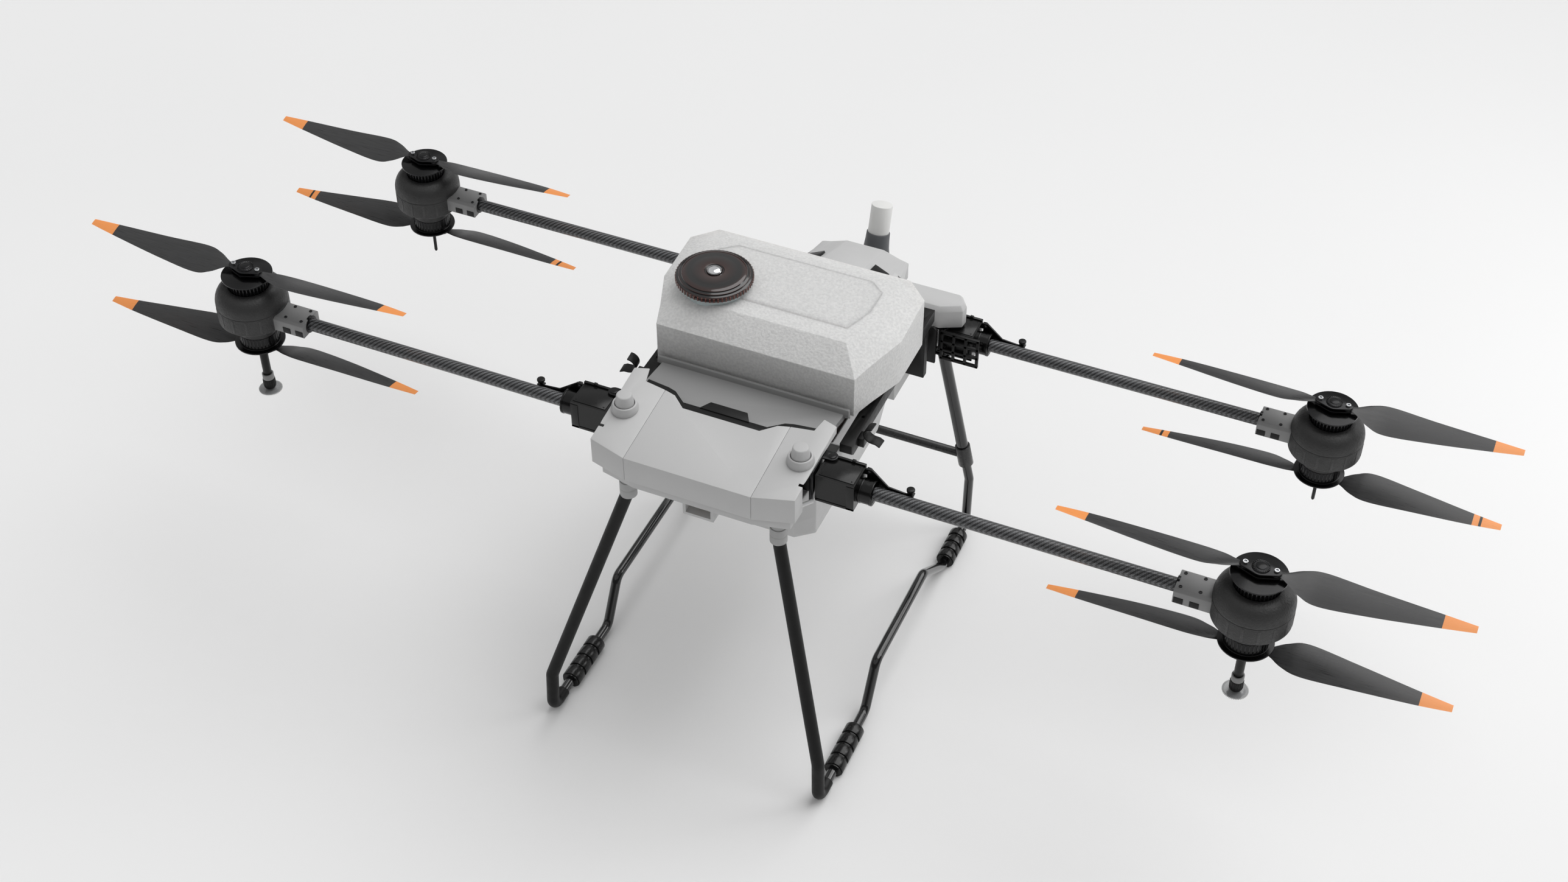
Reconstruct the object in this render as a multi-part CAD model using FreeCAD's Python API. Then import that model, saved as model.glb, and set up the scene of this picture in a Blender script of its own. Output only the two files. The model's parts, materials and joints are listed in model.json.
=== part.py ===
# Agricultural spray drone: four folding arms, a coaxial pair of rotors on each, a lift-out
# liquid tank between two side rails, and a tubular landing gear.
#
# Millimetres. +Z is up and the floor is z = 0. The nose looks along -Y, so the aircraft's own
# left side is +X. The origin is on the floor, midway between the front feet and the antenna.
import FreeCAD, Part
import math
import os

V = FreeCAD.Vector
X, Y, Z = V(1, 0, 0), V(0, 1, 0), V(0, 0, 1)

# ---------------------------------------------------------------- driving dimensions
motor_x = 1000.0            # rotor axis to the middle plane
motor_y = 319.5             # rotor axis to the plane midway between front and rear arms
rotor_radius = 356.6        # 28 inch propeller
front_hub_top = 780.0       # height of the front upper rotor's cap
rear_hub_top = 623.0        # the rear arms are lower, so that the arms fold past each other
front_tube_drop = 104.0     # hub top down to the axis of the arm tube
rear_tube_drop = 97.0
half_length = 520.0         # origin to the front of the feet, and to the back of the antenna
foot_x = 289.0              # landing gear half track

running_gap = 0.05          # radial clearance of shafts and pins that turn
seat_gap = 0.1              # radial clearance of parts that are bonded or clamped
moving_gap = 1.0            # clearance between parts that pass each other
wall = 3.0                  # moulded covers and trays

# arms
arm_tube_r = 13.0
arm_tube_wall = 1.5
root_box_inner = 208.0      # inner end of the root box
root_box_outer = 283.0
root_box_half_width = 30.5
root_box_below = 28.0       # box bottom under the tube axis
root_box_above = 33.0
root_box_wall = 4.0
collar_r = 23.0
collar_length = 28.0
hinge_x = 219.0             # vertical fold pin
hinge_inset = 23.0          # fold pin to the tube axis, towards the middle of the aircraft
fold_pin_r = 5.0
stowed_angle = 86.0         # where the hooks hold a folded arm
bracket_plate = 4.0
bracket_web = 8.0
lever_thickness = 3.0
lever_offset = 26.0         # lever's middle plane behind the tube axis
lever_pivot_x = 291.0
lever_pivot_up = 27.0
lever_pin_r = 3.0
knob_x = 372.0

# motor pods, heights are measured down from the hub top
flange_r = 49.5
flange_down = 20.0
flange_thickness = 3.0
skirt_r = 39.5
skirt_wall = 2.5
skirt_bottom = 50.0
shaft_r = 13.0
shaft_bore_r = 9.6          # the spray rod passes through the lower shaft
shaft_bottom = 58.0
hub_neck_r = 15.0
stator_gap = 1.5
stator_bore_r = 16.0
stator_top = 30.0
stator_bottom = 60.0
bearing_height = 7.0
stator_r = skirt_r - skirt_wall - stator_gap
pod_mirror = 103.5          # the lower rotor is the upper one turned over about this level
housing_top = 46.0
housing_shoulder = 80.0
housing_r = 70.5
housing_bottom = 124.0
lower_neck_bottom = 156.0
escs_room_r = 30.0
escs_room_top = 100.0
clamp_block_reach = 132.0   # pod axis to the inner end of the tube clamp
clamp_block_half_width = 28.0
clamp_block_half_height = 16.0

# propeller hub
bolt_circle_r = 26.8
bolt_r = 2.5
bolt_head_r = 4.6
bolt_head_height = 3.8
clamp_plate = 3.0
plate_top_down = 5.0        # top of the upper clamp plate under the hub top
blade_root_thickness = 5.0
blade_boss_r = 8.0
plate_lobe_r = 9.5
plate_centre_r = 19.0
cap_dome_r = 16.0

# spray heads
spray_rod_r = 8.5
spray_rod_bottom = 288.0
spray_cup_r = 12.0
spray_cup_bottom = 311.0
spray_disc_r = 23.5
spray_disc_down = 315.6
spray_shaft_r = 2.0
rear_rod_r = 3.5
rear_rod_bottom = 262.6
rod_socket_top = 90.0

# tank
tank_bottom = 682.0
tank_shoulder_front = 771.0
tank_shoulder_rear = 795.0
tank_top = 808.0
tank_wall = 3.5
sump_half_x = 150.0
sump_front, sump_rear = -120.0, 90.0
sump_bottom = 452.0
hatch_half_x, hatch_half_y = 70.0, 60.0   # opening in the tub floor under the tank outlet
cap_x, cap_y = -132.0, -37.0
neck_r = 66.0
neck_top = 826.0
cap_r = 74.0
cap_bottom = 817.0
cap_top = 838.0
cap_skirt_wall = 4.0
button_r = 15.0
button_stem_r = 5.0
button_travel = 3.0
tank_lift = 200.0

# landing gear
leg_r = 12.5
leg_wall = 2.0
skid_r = 10.0
skid_wall = 1.5
skid_axis_z = 15.0
arch_z = 110.0
socket_x, socket_y = 152.5, -385.5
socket_bottom = 556.0
socket_r = 19.0
knee_z = 146.0
rear_leg_top = V(220, 300, 488)
crossbar_r = 9.5
collar_length_leg = 50.0
leg_collar_r = 16.0
sleeve_r = 17.0
sleeve_slot = 10.0
sleeve_segments = 4
sleeve_pitch = 29.5
sleeve_joint = 1.0

# airframe
rail_inner, rail_outer = 200.0, 224.0
rail_bottom, rail_top = 640.0, 668.0
rail_front, rail_rear = -215.0, 215.0
payload_hole_x, payload_hole_y = 212.0, (-130.0, 180.0)
payload_hole_r = 3.3
post_foot = 500.0
pan_bottom, pan_top = 622.0, 650.0
cover_edge_z = 653.0
cover_front_z = 708.0
cover_slope = 0.118         # rise of the nose cover per millimetre towards the back
cover_nose_y = -447.0
panel_x = 125.5             # joint between the middle and the wing panels
wing_x = 202.0
deck_top = 681.5
gnss_x, gnss_y = 175.0, -338.5
belly_half_x = 170.0
belly_bottom = 425.0
bay_half_x = 165.0
bay_front, bay_rear = 165.0, 278.0
bay_bottom = 450.0
wing_cover_bottom, wing_cover_top = 567.0, 618.0
wing_rear = 345.0
hump_front, hump_rear = 150.0, 408.0
hump_foot = 604.0
battery_top = 625.0
camera_frame_half_x = 31.0
camera_frame_front, camera_frame_rear = -405.0, -370.0
camera_frame_bottom, camera_frame_top = 569.0, 621.5
camera_pivot_z = 594.0
camera_pin_r = 2.5

tube_z = {"front": front_hub_top - front_tube_drop, "rear": rear_hub_top - rear_tube_drop}
hub_z = {"front": front_hub_top, "rear": rear_hub_top}
arm_y = {"front": -motor_y, "rear": motor_y}


# ---------------------------------------------------------------- helpers
def box(x0, x1, y0, y1, z0, z1):
    return Part.makeBox(x1 - x0, y1 - y0, z1 - z0, V(x0, y0, z0))


def rod(radius, start, end):
    """A cylinder from one point to another."""
    return Part.makeCylinder(radius, (end - start).Length, start, end - start)


def upright(radius, z0, z1, x=0.0, y=0.0):
    return rod(radius, V(x, y, min(z0, z1)), V(x, y, max(z0, z1)))


def ring(outer, inner, z0, z1, x=0.0, y=0.0):
    return upright(outer, z0, z1, x, y).cut(upright(inner, z0 - 1, z1 + 1, x, y))


def turned(profile):
    """Turn an outline of (radius, height) points about the Z axis."""
    wire = Part.makePolygon([V(r, 0, z) for r, z in profile + profile[:1]])
    return Part.Face(wire).revolve(V(0, 0, 0), Z, 360)


def plate(points, z0, z1):
    """A flat polygon of (x, y) points raised from z0 to z1."""
    wire = Part.makePolygon([V(x, y, z0) for x, y in points + points[:1]])
    return Part.Face(wire).extrude(V(0, 0, z1 - z0))


def side_plate(points, y0, y1):
    """A polygon of (x, z) points that runs from y0 to y1."""
    wire = Part.makePolygon([V(x, y0, z) for x, z in points + points[:1]])
    return Part.Face(wire).extrude(V(0, y1 - y0, 0))


def cross_plate(points, x0, x1):
    """A polygon of (y, z) points that runs from x0 to x1."""
    wire = Part.makePolygon([V(x0, y, z) for y, z in points + points[:1]])
    return Part.Face(wire).extrude(V(x1 - x0, 0, 0))


def both_sides(points):
    """Complete an outline whose +x half is given from the front to the back."""
    return points + [(-x, y) for x, y in reversed(points)]


def inset(points, distance):
    """Move each side of a convex outline inwards."""
    lines = []
    area = sum(a[0] * b[1] - b[0] * a[1] for a, b in zip(points, points[1:] + points[:1]))
    turn = 1.0 if area > 0 else -1.0
    for a, b in zip(points, points[1:] + points[:1]):
        length = math.hypot(b[0] - a[0], b[1] - a[1])
        nx, ny = -(b[1] - a[1]) / length * turn, (b[0] - a[0]) / length * turn
        lines.append((nx, ny, nx * a[0] + ny * a[1] + distance))
    corners = []
    for first, second in zip(lines[-1:] + lines[:-1], lines):
        det = first[0] * second[1] - second[0] * first[1]
        corners.append(((first[2] * second[1] - second[2] * first[1]) / det,
                        (first[0] * second[2] - second[0] * first[2]) / det))
    return corners


def lofted(levels):
    """A closed body through outlines of (x, y, z) points with equal counts."""
    wires = [Part.makePolygon([V(*p) for p in level + level[:1]]) for level in levels]
    return Part.makeLoft(wires, True, True)


def level(points, z, rise=0.0, from_y=0.0):
    """Lift an outline to a height that may rise towards the back."""
    return [(x, y, z + rise * (y - from_y)) for x, y in points]


def bent_wire(points, bend_radius):
    """Straight runs through the points, joined by tangent arcs."""
    edges, start = [], points[0]
    for before, corner, after in zip(points, points[1:], points[2:]):
        into, out = (corner - before).normalize(), (after - corner).normalize()
        turn = into.getAngle(out)
        reach = bend_radius * math.tan(turn / 2)
        first, last = corner - into * reach, corner + out * reach
        centre = corner + (out - into).normalize() * (bend_radius / math.cos(turn / 2))
        middle = centre + (corner - centre).normalize() * bend_radius
        edges += [Part.makeLine(start, first), Part.Arc(first, middle, last).toShape()]
        start = last
    return Part.Wire(edges + [Part.makeLine(start, points[-1])])


def bent_tube(points, bend_radius, radius, tube_wall):
    """A hollow tube along straight runs and tangent arcs."""
    path = bent_wire(points, bend_radius)
    skins = []
    for r in (radius, radius - tube_wall):
        circle = Part.Wire(Part.makeCircle(r, points[0], points[1] - points[0]))
        skins.append(path.makePipeShell([circle], True, True))
    return skins[0].cut(skins[1])


def mirrored_x(shape):
    return shape.mirror(V(0, 0, 0), X)


def pair(shape):
    return [shape, mirrored_x(shape)]


def moved(shape, x=0.0, y=0.0, z=0.0):
    copy = shape.copy()
    copy.translate(V(x, y, z))
    return copy


def save(node, *shapes):
    solids = [solid for shape in shapes for solid in shape.Solids]
    body = solids[0] if len(solids) == 1 else Part.makeCompound(solids)
    bad = [s for s in solids if not s.isValid() or s.Volume <= 0]
    body.exportStep("parts/%s.step" % node)
    print("%-28s %2d solids %9.1f cm3 %s" % (node, len(solids), body.Volume / 1000, "BAD" if bad else ""))


# ---------------------------------------------------------------- propeller and rotor
# radius, leading edge, trailing edge, pitch in degrees, height under the hub top, thickness
blade_stations = [
    (30.0, 5.5, 5.5, 0.0, 10.5, 4.4),
    (38.0, 7.5, 7.5, 0.0, 10.5, 4.4),
    (48.0, 12.0, 12.5, 9.0, 11.7, 4.6),
    (70.0, 23.0, 25.0, 17.0, 13.5, 5.0),
    (105.0, 31.0, 33.0, 19.0, 15.5, 5.0),
    (190.0, 24.0, 26.5, 16.0, 13.0, 3.8),
    (290.0, 15.0, 15.0, 13.0, 8.0, 2.6),
    (rotor_radius, 9.0, 5.0, 11.0, 5.5, 1.8),
]
plate_bottom_down = plate_top_down + clamp_plate
root_bottom_down = plate_bottom_down + blade_root_thickness


def blade(lower):
    """One blade along +X; its leading edge is at +Y and stands higher."""
    sections = []
    for radius, lead, trail, pitch, down, thick in blade_stations:
        middle = 2 * pod_mirror - down if lower else down
        tilt = math.radians(pitch)
        outline = [(lead, 0.0), (lead * 0.45, 0.5), (-trail * 0.35, 0.42),
                   (-trail, 0.08), (-trail, -0.08), (-trail * 0.35, -0.42), (lead * 0.45, -0.5)]
        sections.append([(radius, y * math.cos(tilt) - t * thick * math.sin(tilt),
                          y * math.sin(tilt) + t * thick * math.cos(tilt) - middle)
                         for y, t in outline])
    z0, z1 = -root_bottom_down + seat_gap, -plate_bottom_down - seat_gap
    if lower:
        z0, z1 = -2 * pod_mirror - z1, -2 * pod_mirror - z0
    boss = upright(blade_boss_r, z0, z1, bolt_circle_r)
    boss = boss.cut(upright(bolt_r + running_gap, z0 - 1, z1 + 1, bolt_circle_r))
    return lofted(sections).fuse(boss).cut(
        upright(bolt_r + running_gap, z0 - 9, z1 + 9, bolt_circle_r)).removeSplitter()


def blade_pair(lower):
    first = blade(lower)
    second = first.copy()
    second.rotate(V(0, 0, 0), Z, 180)
    return [first, second]


def hub_plate(z0, z1, bore):
    body = upright(plate_centre_r, z0, z1).fuse(
        box(-bolt_circle_r, bolt_circle_r, -plate_lobe_r, plate_lobe_r, z0, z1))
    for x in (-bolt_circle_r, bolt_circle_r):
        body = body.fuse(upright(plate_lobe_r, z0, z1, x))
    body = body.cut(upright(bore, z0 - 1, z1 + 1)).removeSplitter()
    for x in (-bolt_circle_r, bolt_circle_r):
        body = body.cut(upright(bolt_r + running_gap, z0 - 1, z1 + 1, x))
    return body


def rotor(lower):
    """Outrunner bell with its flange and hollow shaft, clamp plate, cap and the two blade bolts."""
    foot = -root_bottom_down - clamp_plate
    bell = turned([(shaft_bore_r, -shaft_bottom), (shaft_r, -shaft_bottom),
                   (shaft_r, -flange_down - 2 * flange_thickness),
                   (skirt_r - skirt_wall, -flange_down - 2 * flange_thickness),
                   (skirt_r - skirt_wall, -skirt_bottom), (skirt_r, -skirt_bottom),
                   (skirt_r, -flange_down - flange_thickness), (flange_r, -flange_down - flange_thickness),
                   (flange_r, -flange_down), (hub_neck_r, -flange_down), (hub_neck_r, foot),
                   (shaft_bore_r, foot)])
    bell = bell.fuse(hub_plate(foot, -root_bottom_down, shaft_bore_r)).removeSplitter()
    top = hub_plate(-plate_bottom_down, -plate_top_down, shaft_bore_r)
    if lower:
        dome = turned([(shaft_bore_r, -plate_top_down), (cap_dome_r, -plate_top_down),
                       (cap_dome_r - 1.5, -1.6), (cap_dome_r - 4.5, 0.0), (shaft_bore_r, 0.0)])
    else:
        dome = turned([(0.0, -plate_top_down), (cap_dome_r, -plate_top_down),
                       (cap_dome_r - 1.5, -2.4), (cap_dome_r - 6, -0.6), (0.0, 0.0)])
    solids = [bell, top, dome]
    for x in (-bolt_circle_r, bolt_circle_r):
        shank = upright(bolt_r, foot, -plate_top_down, x)
        head = upright(bolt_head_r, -plate_top_down, -plate_top_down + bolt_head_height, x)
        solids.append(shank.fuse(head).removeSplitter())
    if lower:
        solids = [s.mirror(V(0, 0, -pod_mirror), Z) for s in solids]
    return solids


# ---------------------------------------------------------------- motor pod
def housing(rod_r):
    """The pod's moulded body, with a pocket for each motor and a room for the speed controllers."""
    lip = skirt_r + 3.5
    arc = [(lip + (housing_r - lip) * math.sin(math.radians(a)),
            -housing_shoulder + (housing_shoulder - housing_top) * math.cos(math.radians(a)))
           for a in (0, 22, 44, 66, 90)]
    pocket = skirt_r + moving_gap
    recess = skirt_r - skirt_wall - 0.5
    upper_floor = stator_bottom
    lower_floor = 2 * pod_mirror - stator_bottom
    outline = [(0, -upper_floor), (pocket, -upper_floor), (pocket, -housing_top)] + arc
    outline += [(housing_r, -housing_bottom + 3), (housing_r - 3, -housing_bottom),
                (skirt_r, -housing_bottom), (skirt_r, -lower_neck_bottom), (recess, -lower_neck_bottom),
                (recess, -lower_floor), (escs_room_r, -lower_floor), (escs_room_r, -escs_room_top),
                (rod_r + seat_gap, -escs_room_top), (rod_r + seat_gap, -rod_socket_top),
                (0, -rod_socket_top)]
    return turned(outline)


def stator_set(lower):
    """A wound stator with its two bearings."""
    solids = [ring(stator_r, stator_bore_r, -stator_bottom, -stator_top)]
    for top in (-stator_top, -stator_bottom + bearing_height):
        solids.append(ring(stator_bore_r - running_gap, shaft_r + running_gap, top - bearing_height, top))
    if lower:
        solids = [s.mirror(V(0, 0, -pod_mirror), Z) for s in solids]
    return solids


def spray_rod():
    """Feed rod, clamp ring and the cup that holds the disc's spindle."""
    body = upright(spray_rod_r, -rod_socket_top, -spray_rod_bottom)
    body = body.fuse(upright(spray_cup_r, -spray_rod_bottom, -spray_cup_bottom)).removeSplitter()
    body = body.cut(upright(spray_shaft_r + running_gap, -spray_cup_bottom - 1, -spray_cup_bottom + 12))
    clamp = ring(spray_rod_r + 3, spray_rod_r + seat_gap, -spray_rod_bottom, -spray_rod_bottom + 13)
    return [body, clamp]


def spray_disc():
    hub = upright(6.0, -spray_disc_down, -spray_cup_bottom - 0.5)
    spindle = upright(spray_shaft_r, -spray_disc_down, -spray_cup_bottom + 10)
    dish = turned([(0, -spray_disc_down), (0, -spray_disc_down - 1.5), (spray_disc_r - 6, -spray_disc_down - 1.5),
                   (spray_disc_r, -spray_disc_down + 0.3), (spray_disc_r - 1.0, -spray_disc_down + 1.6),
                   (spray_disc_r - 7, -spray_disc_down)])
    return dish.fuse(hub).fuse(spindle).removeSplitter()


def tube_clamp(drop):
    """Block that clamps the arm tube and is bolted against the housing."""
    w, h, bevel = clamp_block_half_width, clamp_block_half_height, 5.0
    outline = [(-w, -drop - h), (w, -drop - h), (w, -drop + h - bevel), (w - bevel, -drop + h),
               (bevel - w, -drop + h), (-w, -drop + h - bevel)]
    body = cross_plate(outline, -clamp_block_reach, -40)
    body = body.cut(upright(housing_r + seat_gap, -200, 0))
    return body.cut(rod(arm_tube_r + seat_gap, V(-clamp_block_reach - 1, 0, -drop), V(-86, 0, -drop)))


def pod(rod_solids, rod_r, drop):
    ring_esc = ring(escs_room_r - 0.5, rod_r + 4, -118, -110)
    return [housing(rod_r), tube_clamp(drop), ring_esc] + stator_set(False) + stator_set(True) + rod_solids


# ---------------------------------------------------------------- folding arm, built for the front left
# Heights are from the tube axis; "inward" is towards the middle of the aircraft.
def arm_root():
    """Root box that turns on the fold pin, with its collar, lid rail and the ear of the lock lever."""
    w, low, high = root_box_half_width, -root_box_below, root_box_above
    body = box(root_box_inner, root_box_outer, -w, w, low, high)
    inner = box(root_box_inner + 26, root_box_outer - root_box_wall, -w + root_box_wall, w - root_box_wall,
                low + root_box_wall, high - root_box_wall)
    body = body.cut(inner)
    body = body.fuse(rod(collar_r, V(root_box_outer - root_box_wall, 0, 0),
                         V(root_box_outer + collar_length, 0, 0)))
    body = body.cut(rod(arm_tube_r + seat_gap, V(root_box_inner + 10, 0, 0),
                        V(root_box_outer + collar_length + 1, 0, 0)))
    knuckle = upright(11.0, low, high, hinge_x, hinge_inset)
    corner = box(root_box_inner - 1, hinge_x, hinge_inset, w + 9, low - 1, high + 1)
    body = body.cut(corner.cut(knuckle)).cut(upright(fold_pin_r + running_gap, low - 1, high + 1,
                                                     hinge_x, hinge_inset))
    return body.removeSplitter()


def lever_ear(y_side):
    """The ear on the end of the root box that carries the lever's pin."""
    inner = lever_offset - lever_thickness / 2 - 0.5
    ear = box(root_box_outer - 1, lever_pivot_x + 6, inner - 3.5, inner, lever_pivot_up - 7, root_box_above)
    ear = ear.cut(rod(lever_pin_r + running_gap, V(lever_pivot_x, 0, lever_pivot_up),
                      V(lever_pivot_x, 40, lever_pivot_up)))
    return ear if y_side > 0 else ear.mirror(V(0, 0, 0), Y)


def lock_lever(y_side):
    """Flat lever from the root box down to the tube, with a knob on its end."""
    y0 = lever_offset - lever_thickness / 2
    outline = [(lever_pivot_x - 5, root_box_above), (lever_pivot_x + 4, root_box_above), (331, 13),
               (knob_x + 7, 13), (knob_x + 7, 5), (328, 5), (lever_pivot_x - 5, 21)]
    body = side_plate(outline, y0, y0 + lever_thickness)
    body = body.fuse(rod(lever_pin_r, V(lever_pivot_x, y0 - 4, lever_pivot_up),
                         V(lever_pivot_x, y0 + 1, lever_pivot_up)))
    stem = upright(lever_thickness, 8, 20, knob_x, lever_offset)
    head = upright(6.5, 20, 25, knob_x, lever_offset)
    body = body.fuse(stem).fuse(head).removeSplitter()
    return body if y_side > 0 else body.mirror(V(0, 0, 0), Y)


def fold_bracket():
    """Fixed clevis above and below the root box."""
    w = root_box_half_width
    low, high = -root_box_below - moving_gap, root_box_above + moving_gap
    body = box(root_box_inner - 4 - bracket_web, root_box_inner - 4, -w, w + 3.5, low - bracket_plate,
               high + bracket_plate)
    for z in (low - bracket_plate, high):
        tab = box(root_box_inner - 5, hinge_x, hinge_inset - 11, hinge_inset + 11, z, z + bracket_plate)
        body = body.fuse(tab.fuse(upright(11.0, z, z + bracket_plate, hinge_x, hinge_inset)))
    body = body.cut(upright(fold_pin_r + seat_gap, low - 9, high + 9, hinge_x, hinge_inset))
    return body.removeSplitter()


def fold_pin():
    low, high = -root_box_below - moving_gap - bracket_plate, root_box_above + moving_gap + bracket_plate
    pin = upright(fold_pin_r, low - 2, high + 1, hinge_x, hinge_inset)
    head = upright(fold_pin_r + 2, high + seat_gap, high + 1, hinge_x, hinge_inset)
    return pin.fuse(head).removeSplitter()


def place_arm(shape, end, side, flip=True):
    """Set a front-left arm part on its own corner; rear parts are turned to fold forwards."""
    part = shape.copy()
    if end == "rear" and flip:
        part = part.mirror(V(0, 0, 0), Y)
    part = moved(part, y=arm_y[end], z=tube_z[end])
    return mirrored_x(part) if side == "right" else part


def place_pod(shape, end, side):
    part = moved(shape, x=motor_x, y=arm_y[end], z=hub_z[end])
    return mirrored_x(part) if side == "right" else part


def make_arms():
    tube = rod(arm_tube_r, V(root_box_inner + 27, 0, 0), V(motor_x - 88, 0, 0)).cut(
        rod(arm_tube_r - arm_tube_wall, V(root_box_inner, 0, 0), V(motor_x, 0, 0)))
    upper_rotor, lower_rotor = rotor(False), rotor(True)
    upper_blades, lower_blades = blade_pair(False), blade_pair(True)
    pods = {"front": pod(spray_rod(), spray_rod_r, front_tube_drop),
            "rear": pod([upright(rear_rod_r, -rod_socket_top, -rear_rod_bottom)],
                        rear_rod_r, rear_tube_drop)}
    for end in ("front", "rear"):
        ear_side = 1 if end == "front" else -1
        root = arm_root().fuse(lever_ear(ear_side)).removeSplitter()
        for side in ("left", "right"):
            name = "%s_%s_" % (end, side)
            save(name + "arm_root", place_arm(root, end, side))
            save(name + "arm_tube", place_arm(tube, end, side))
            save(name + "lock_lever", place_arm(lock_lever(1), end, side, flip=False))
            save(name + "motor_pod", *[place_pod(s, end, side) for s in pods[end]])
            for row, shells, wings in (("upper", upper_rotor, upper_blades),
                                       ("lower", lower_rotor, lower_blades)):
                save(name + row + "_rotor", *[place_pod(s, end, side) for s in shells])
                save(name + row + "_blades", *[place_pod(s, end, side) for s in wings])
            if end == "front":
                save(name + "spray_disc", place_pod(spray_disc(), end, side))
    brackets, pins = [], []
    for end in ("front", "rear"):
        for side in ("left", "right"):
            brackets.append(place_arm(fold_bracket(), end, side))
            pins.append(place_arm(fold_pin(), end, side))
    save("fold_hinges", *(brackets + pins))


# ---------------------------------------------------------------- tank
tank_outline = both_sides([(201, -151), (217, -100), (244, -27), (244, 91), (200, 132)])
tank_crown = both_sides([(162, -98), (174, -66), (196, -10), (198, 72), (160, 104)])


def tank_skin(gap):
    """The tank's outer shape, or with a gap its inner one."""
    slope = (tank_shoulder_rear - tank_shoulder_front) / 283.0
    foot = inset(tank_outline, gap)
    body = lofted([level(foot, tank_bottom + gap),
                   level(inset(tank_outline, gap + 1.5), tank_shoulder_front - gap / 2, slope, -151),
                   level(inset(tank_crown, gap), tank_top - gap)])
    sump = box(-sump_half_x + gap, sump_half_x - gap, sump_front + gap, sump_rear - gap,
               sump_bottom + gap, tank_bottom + 20)
    return body.fuse(sump)


def make_tank():
    body = tank_skin(0.0).fuse(upright(neck_r, tank_top - 30, neck_top, cap_x, cap_y))
    body = body.cut(tank_skin(tank_wall))
    body = body.cut(upright(neck_r - tank_wall, tank_top - 31, neck_top + 1, cap_x, cap_y))
    body = body.cut(upright(12, sump_bottom - 1, sump_bottom + 9))
    spout = ring(16, 12, sump_bottom - 12, sump_bottom)
    save("tank", body.fuse(spout).removeSplitter())

    inner = neck_r + 0.4
    crown = turned([(inner, cap_bottom), (cap_r - 2, cap_bottom), (cap_r, cap_bottom + 4),
                    (cap_r, cap_bottom + 11), (cap_r - 6, cap_bottom + 16), (cap_r - 12, cap_top - 2),
                    (cap_r - 22, cap_top), (button_r + 3, cap_top), (button_r + 3, cap_top - 2),
                    (button_r, cap_top - 2), (button_r, cap_top - 6), (button_stem_r + running_gap, cap_top - 6),
                    (button_stem_r + running_gap, neck_top + 1), (inner, neck_top + 1)])
    save("tank_cap", moved(crown, cap_x, cap_y))

    disc = turned([(0, cap_top - 2), (button_r - 0.5, cap_top - 2), (button_r - 0.5, cap_top + 1),
                   (button_r - 5, cap_top + 3.6), (0, cap_top + 5)])
    stem = upright(button_stem_r, neck_top - 1, cap_top - 2)
    save("cap_button", moved(disc.fuse(stem).removeSplitter(), cap_x, cap_y))


# ---------------------------------------------------------------- airframe
def cover_height(y):
    return cover_front_z + cover_slope * (y - cover_nose_y)


def cover_shell(outline, side_opening):
    """A moulded panel whose top rises gently to the back, open underneath."""
    skins = []
    for gap in (0.0, wall):
        ring_points = outline if gap == 0 else side_opening
        skins.append(lofted([[(x, y, cover_edge_z - (1 if gap else 0)) for x, y in ring_points],
                             [(x, y, cover_height(y) - gap) for x, y in ring_points]]))
    return skins[0].cut(skins[1])


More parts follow.
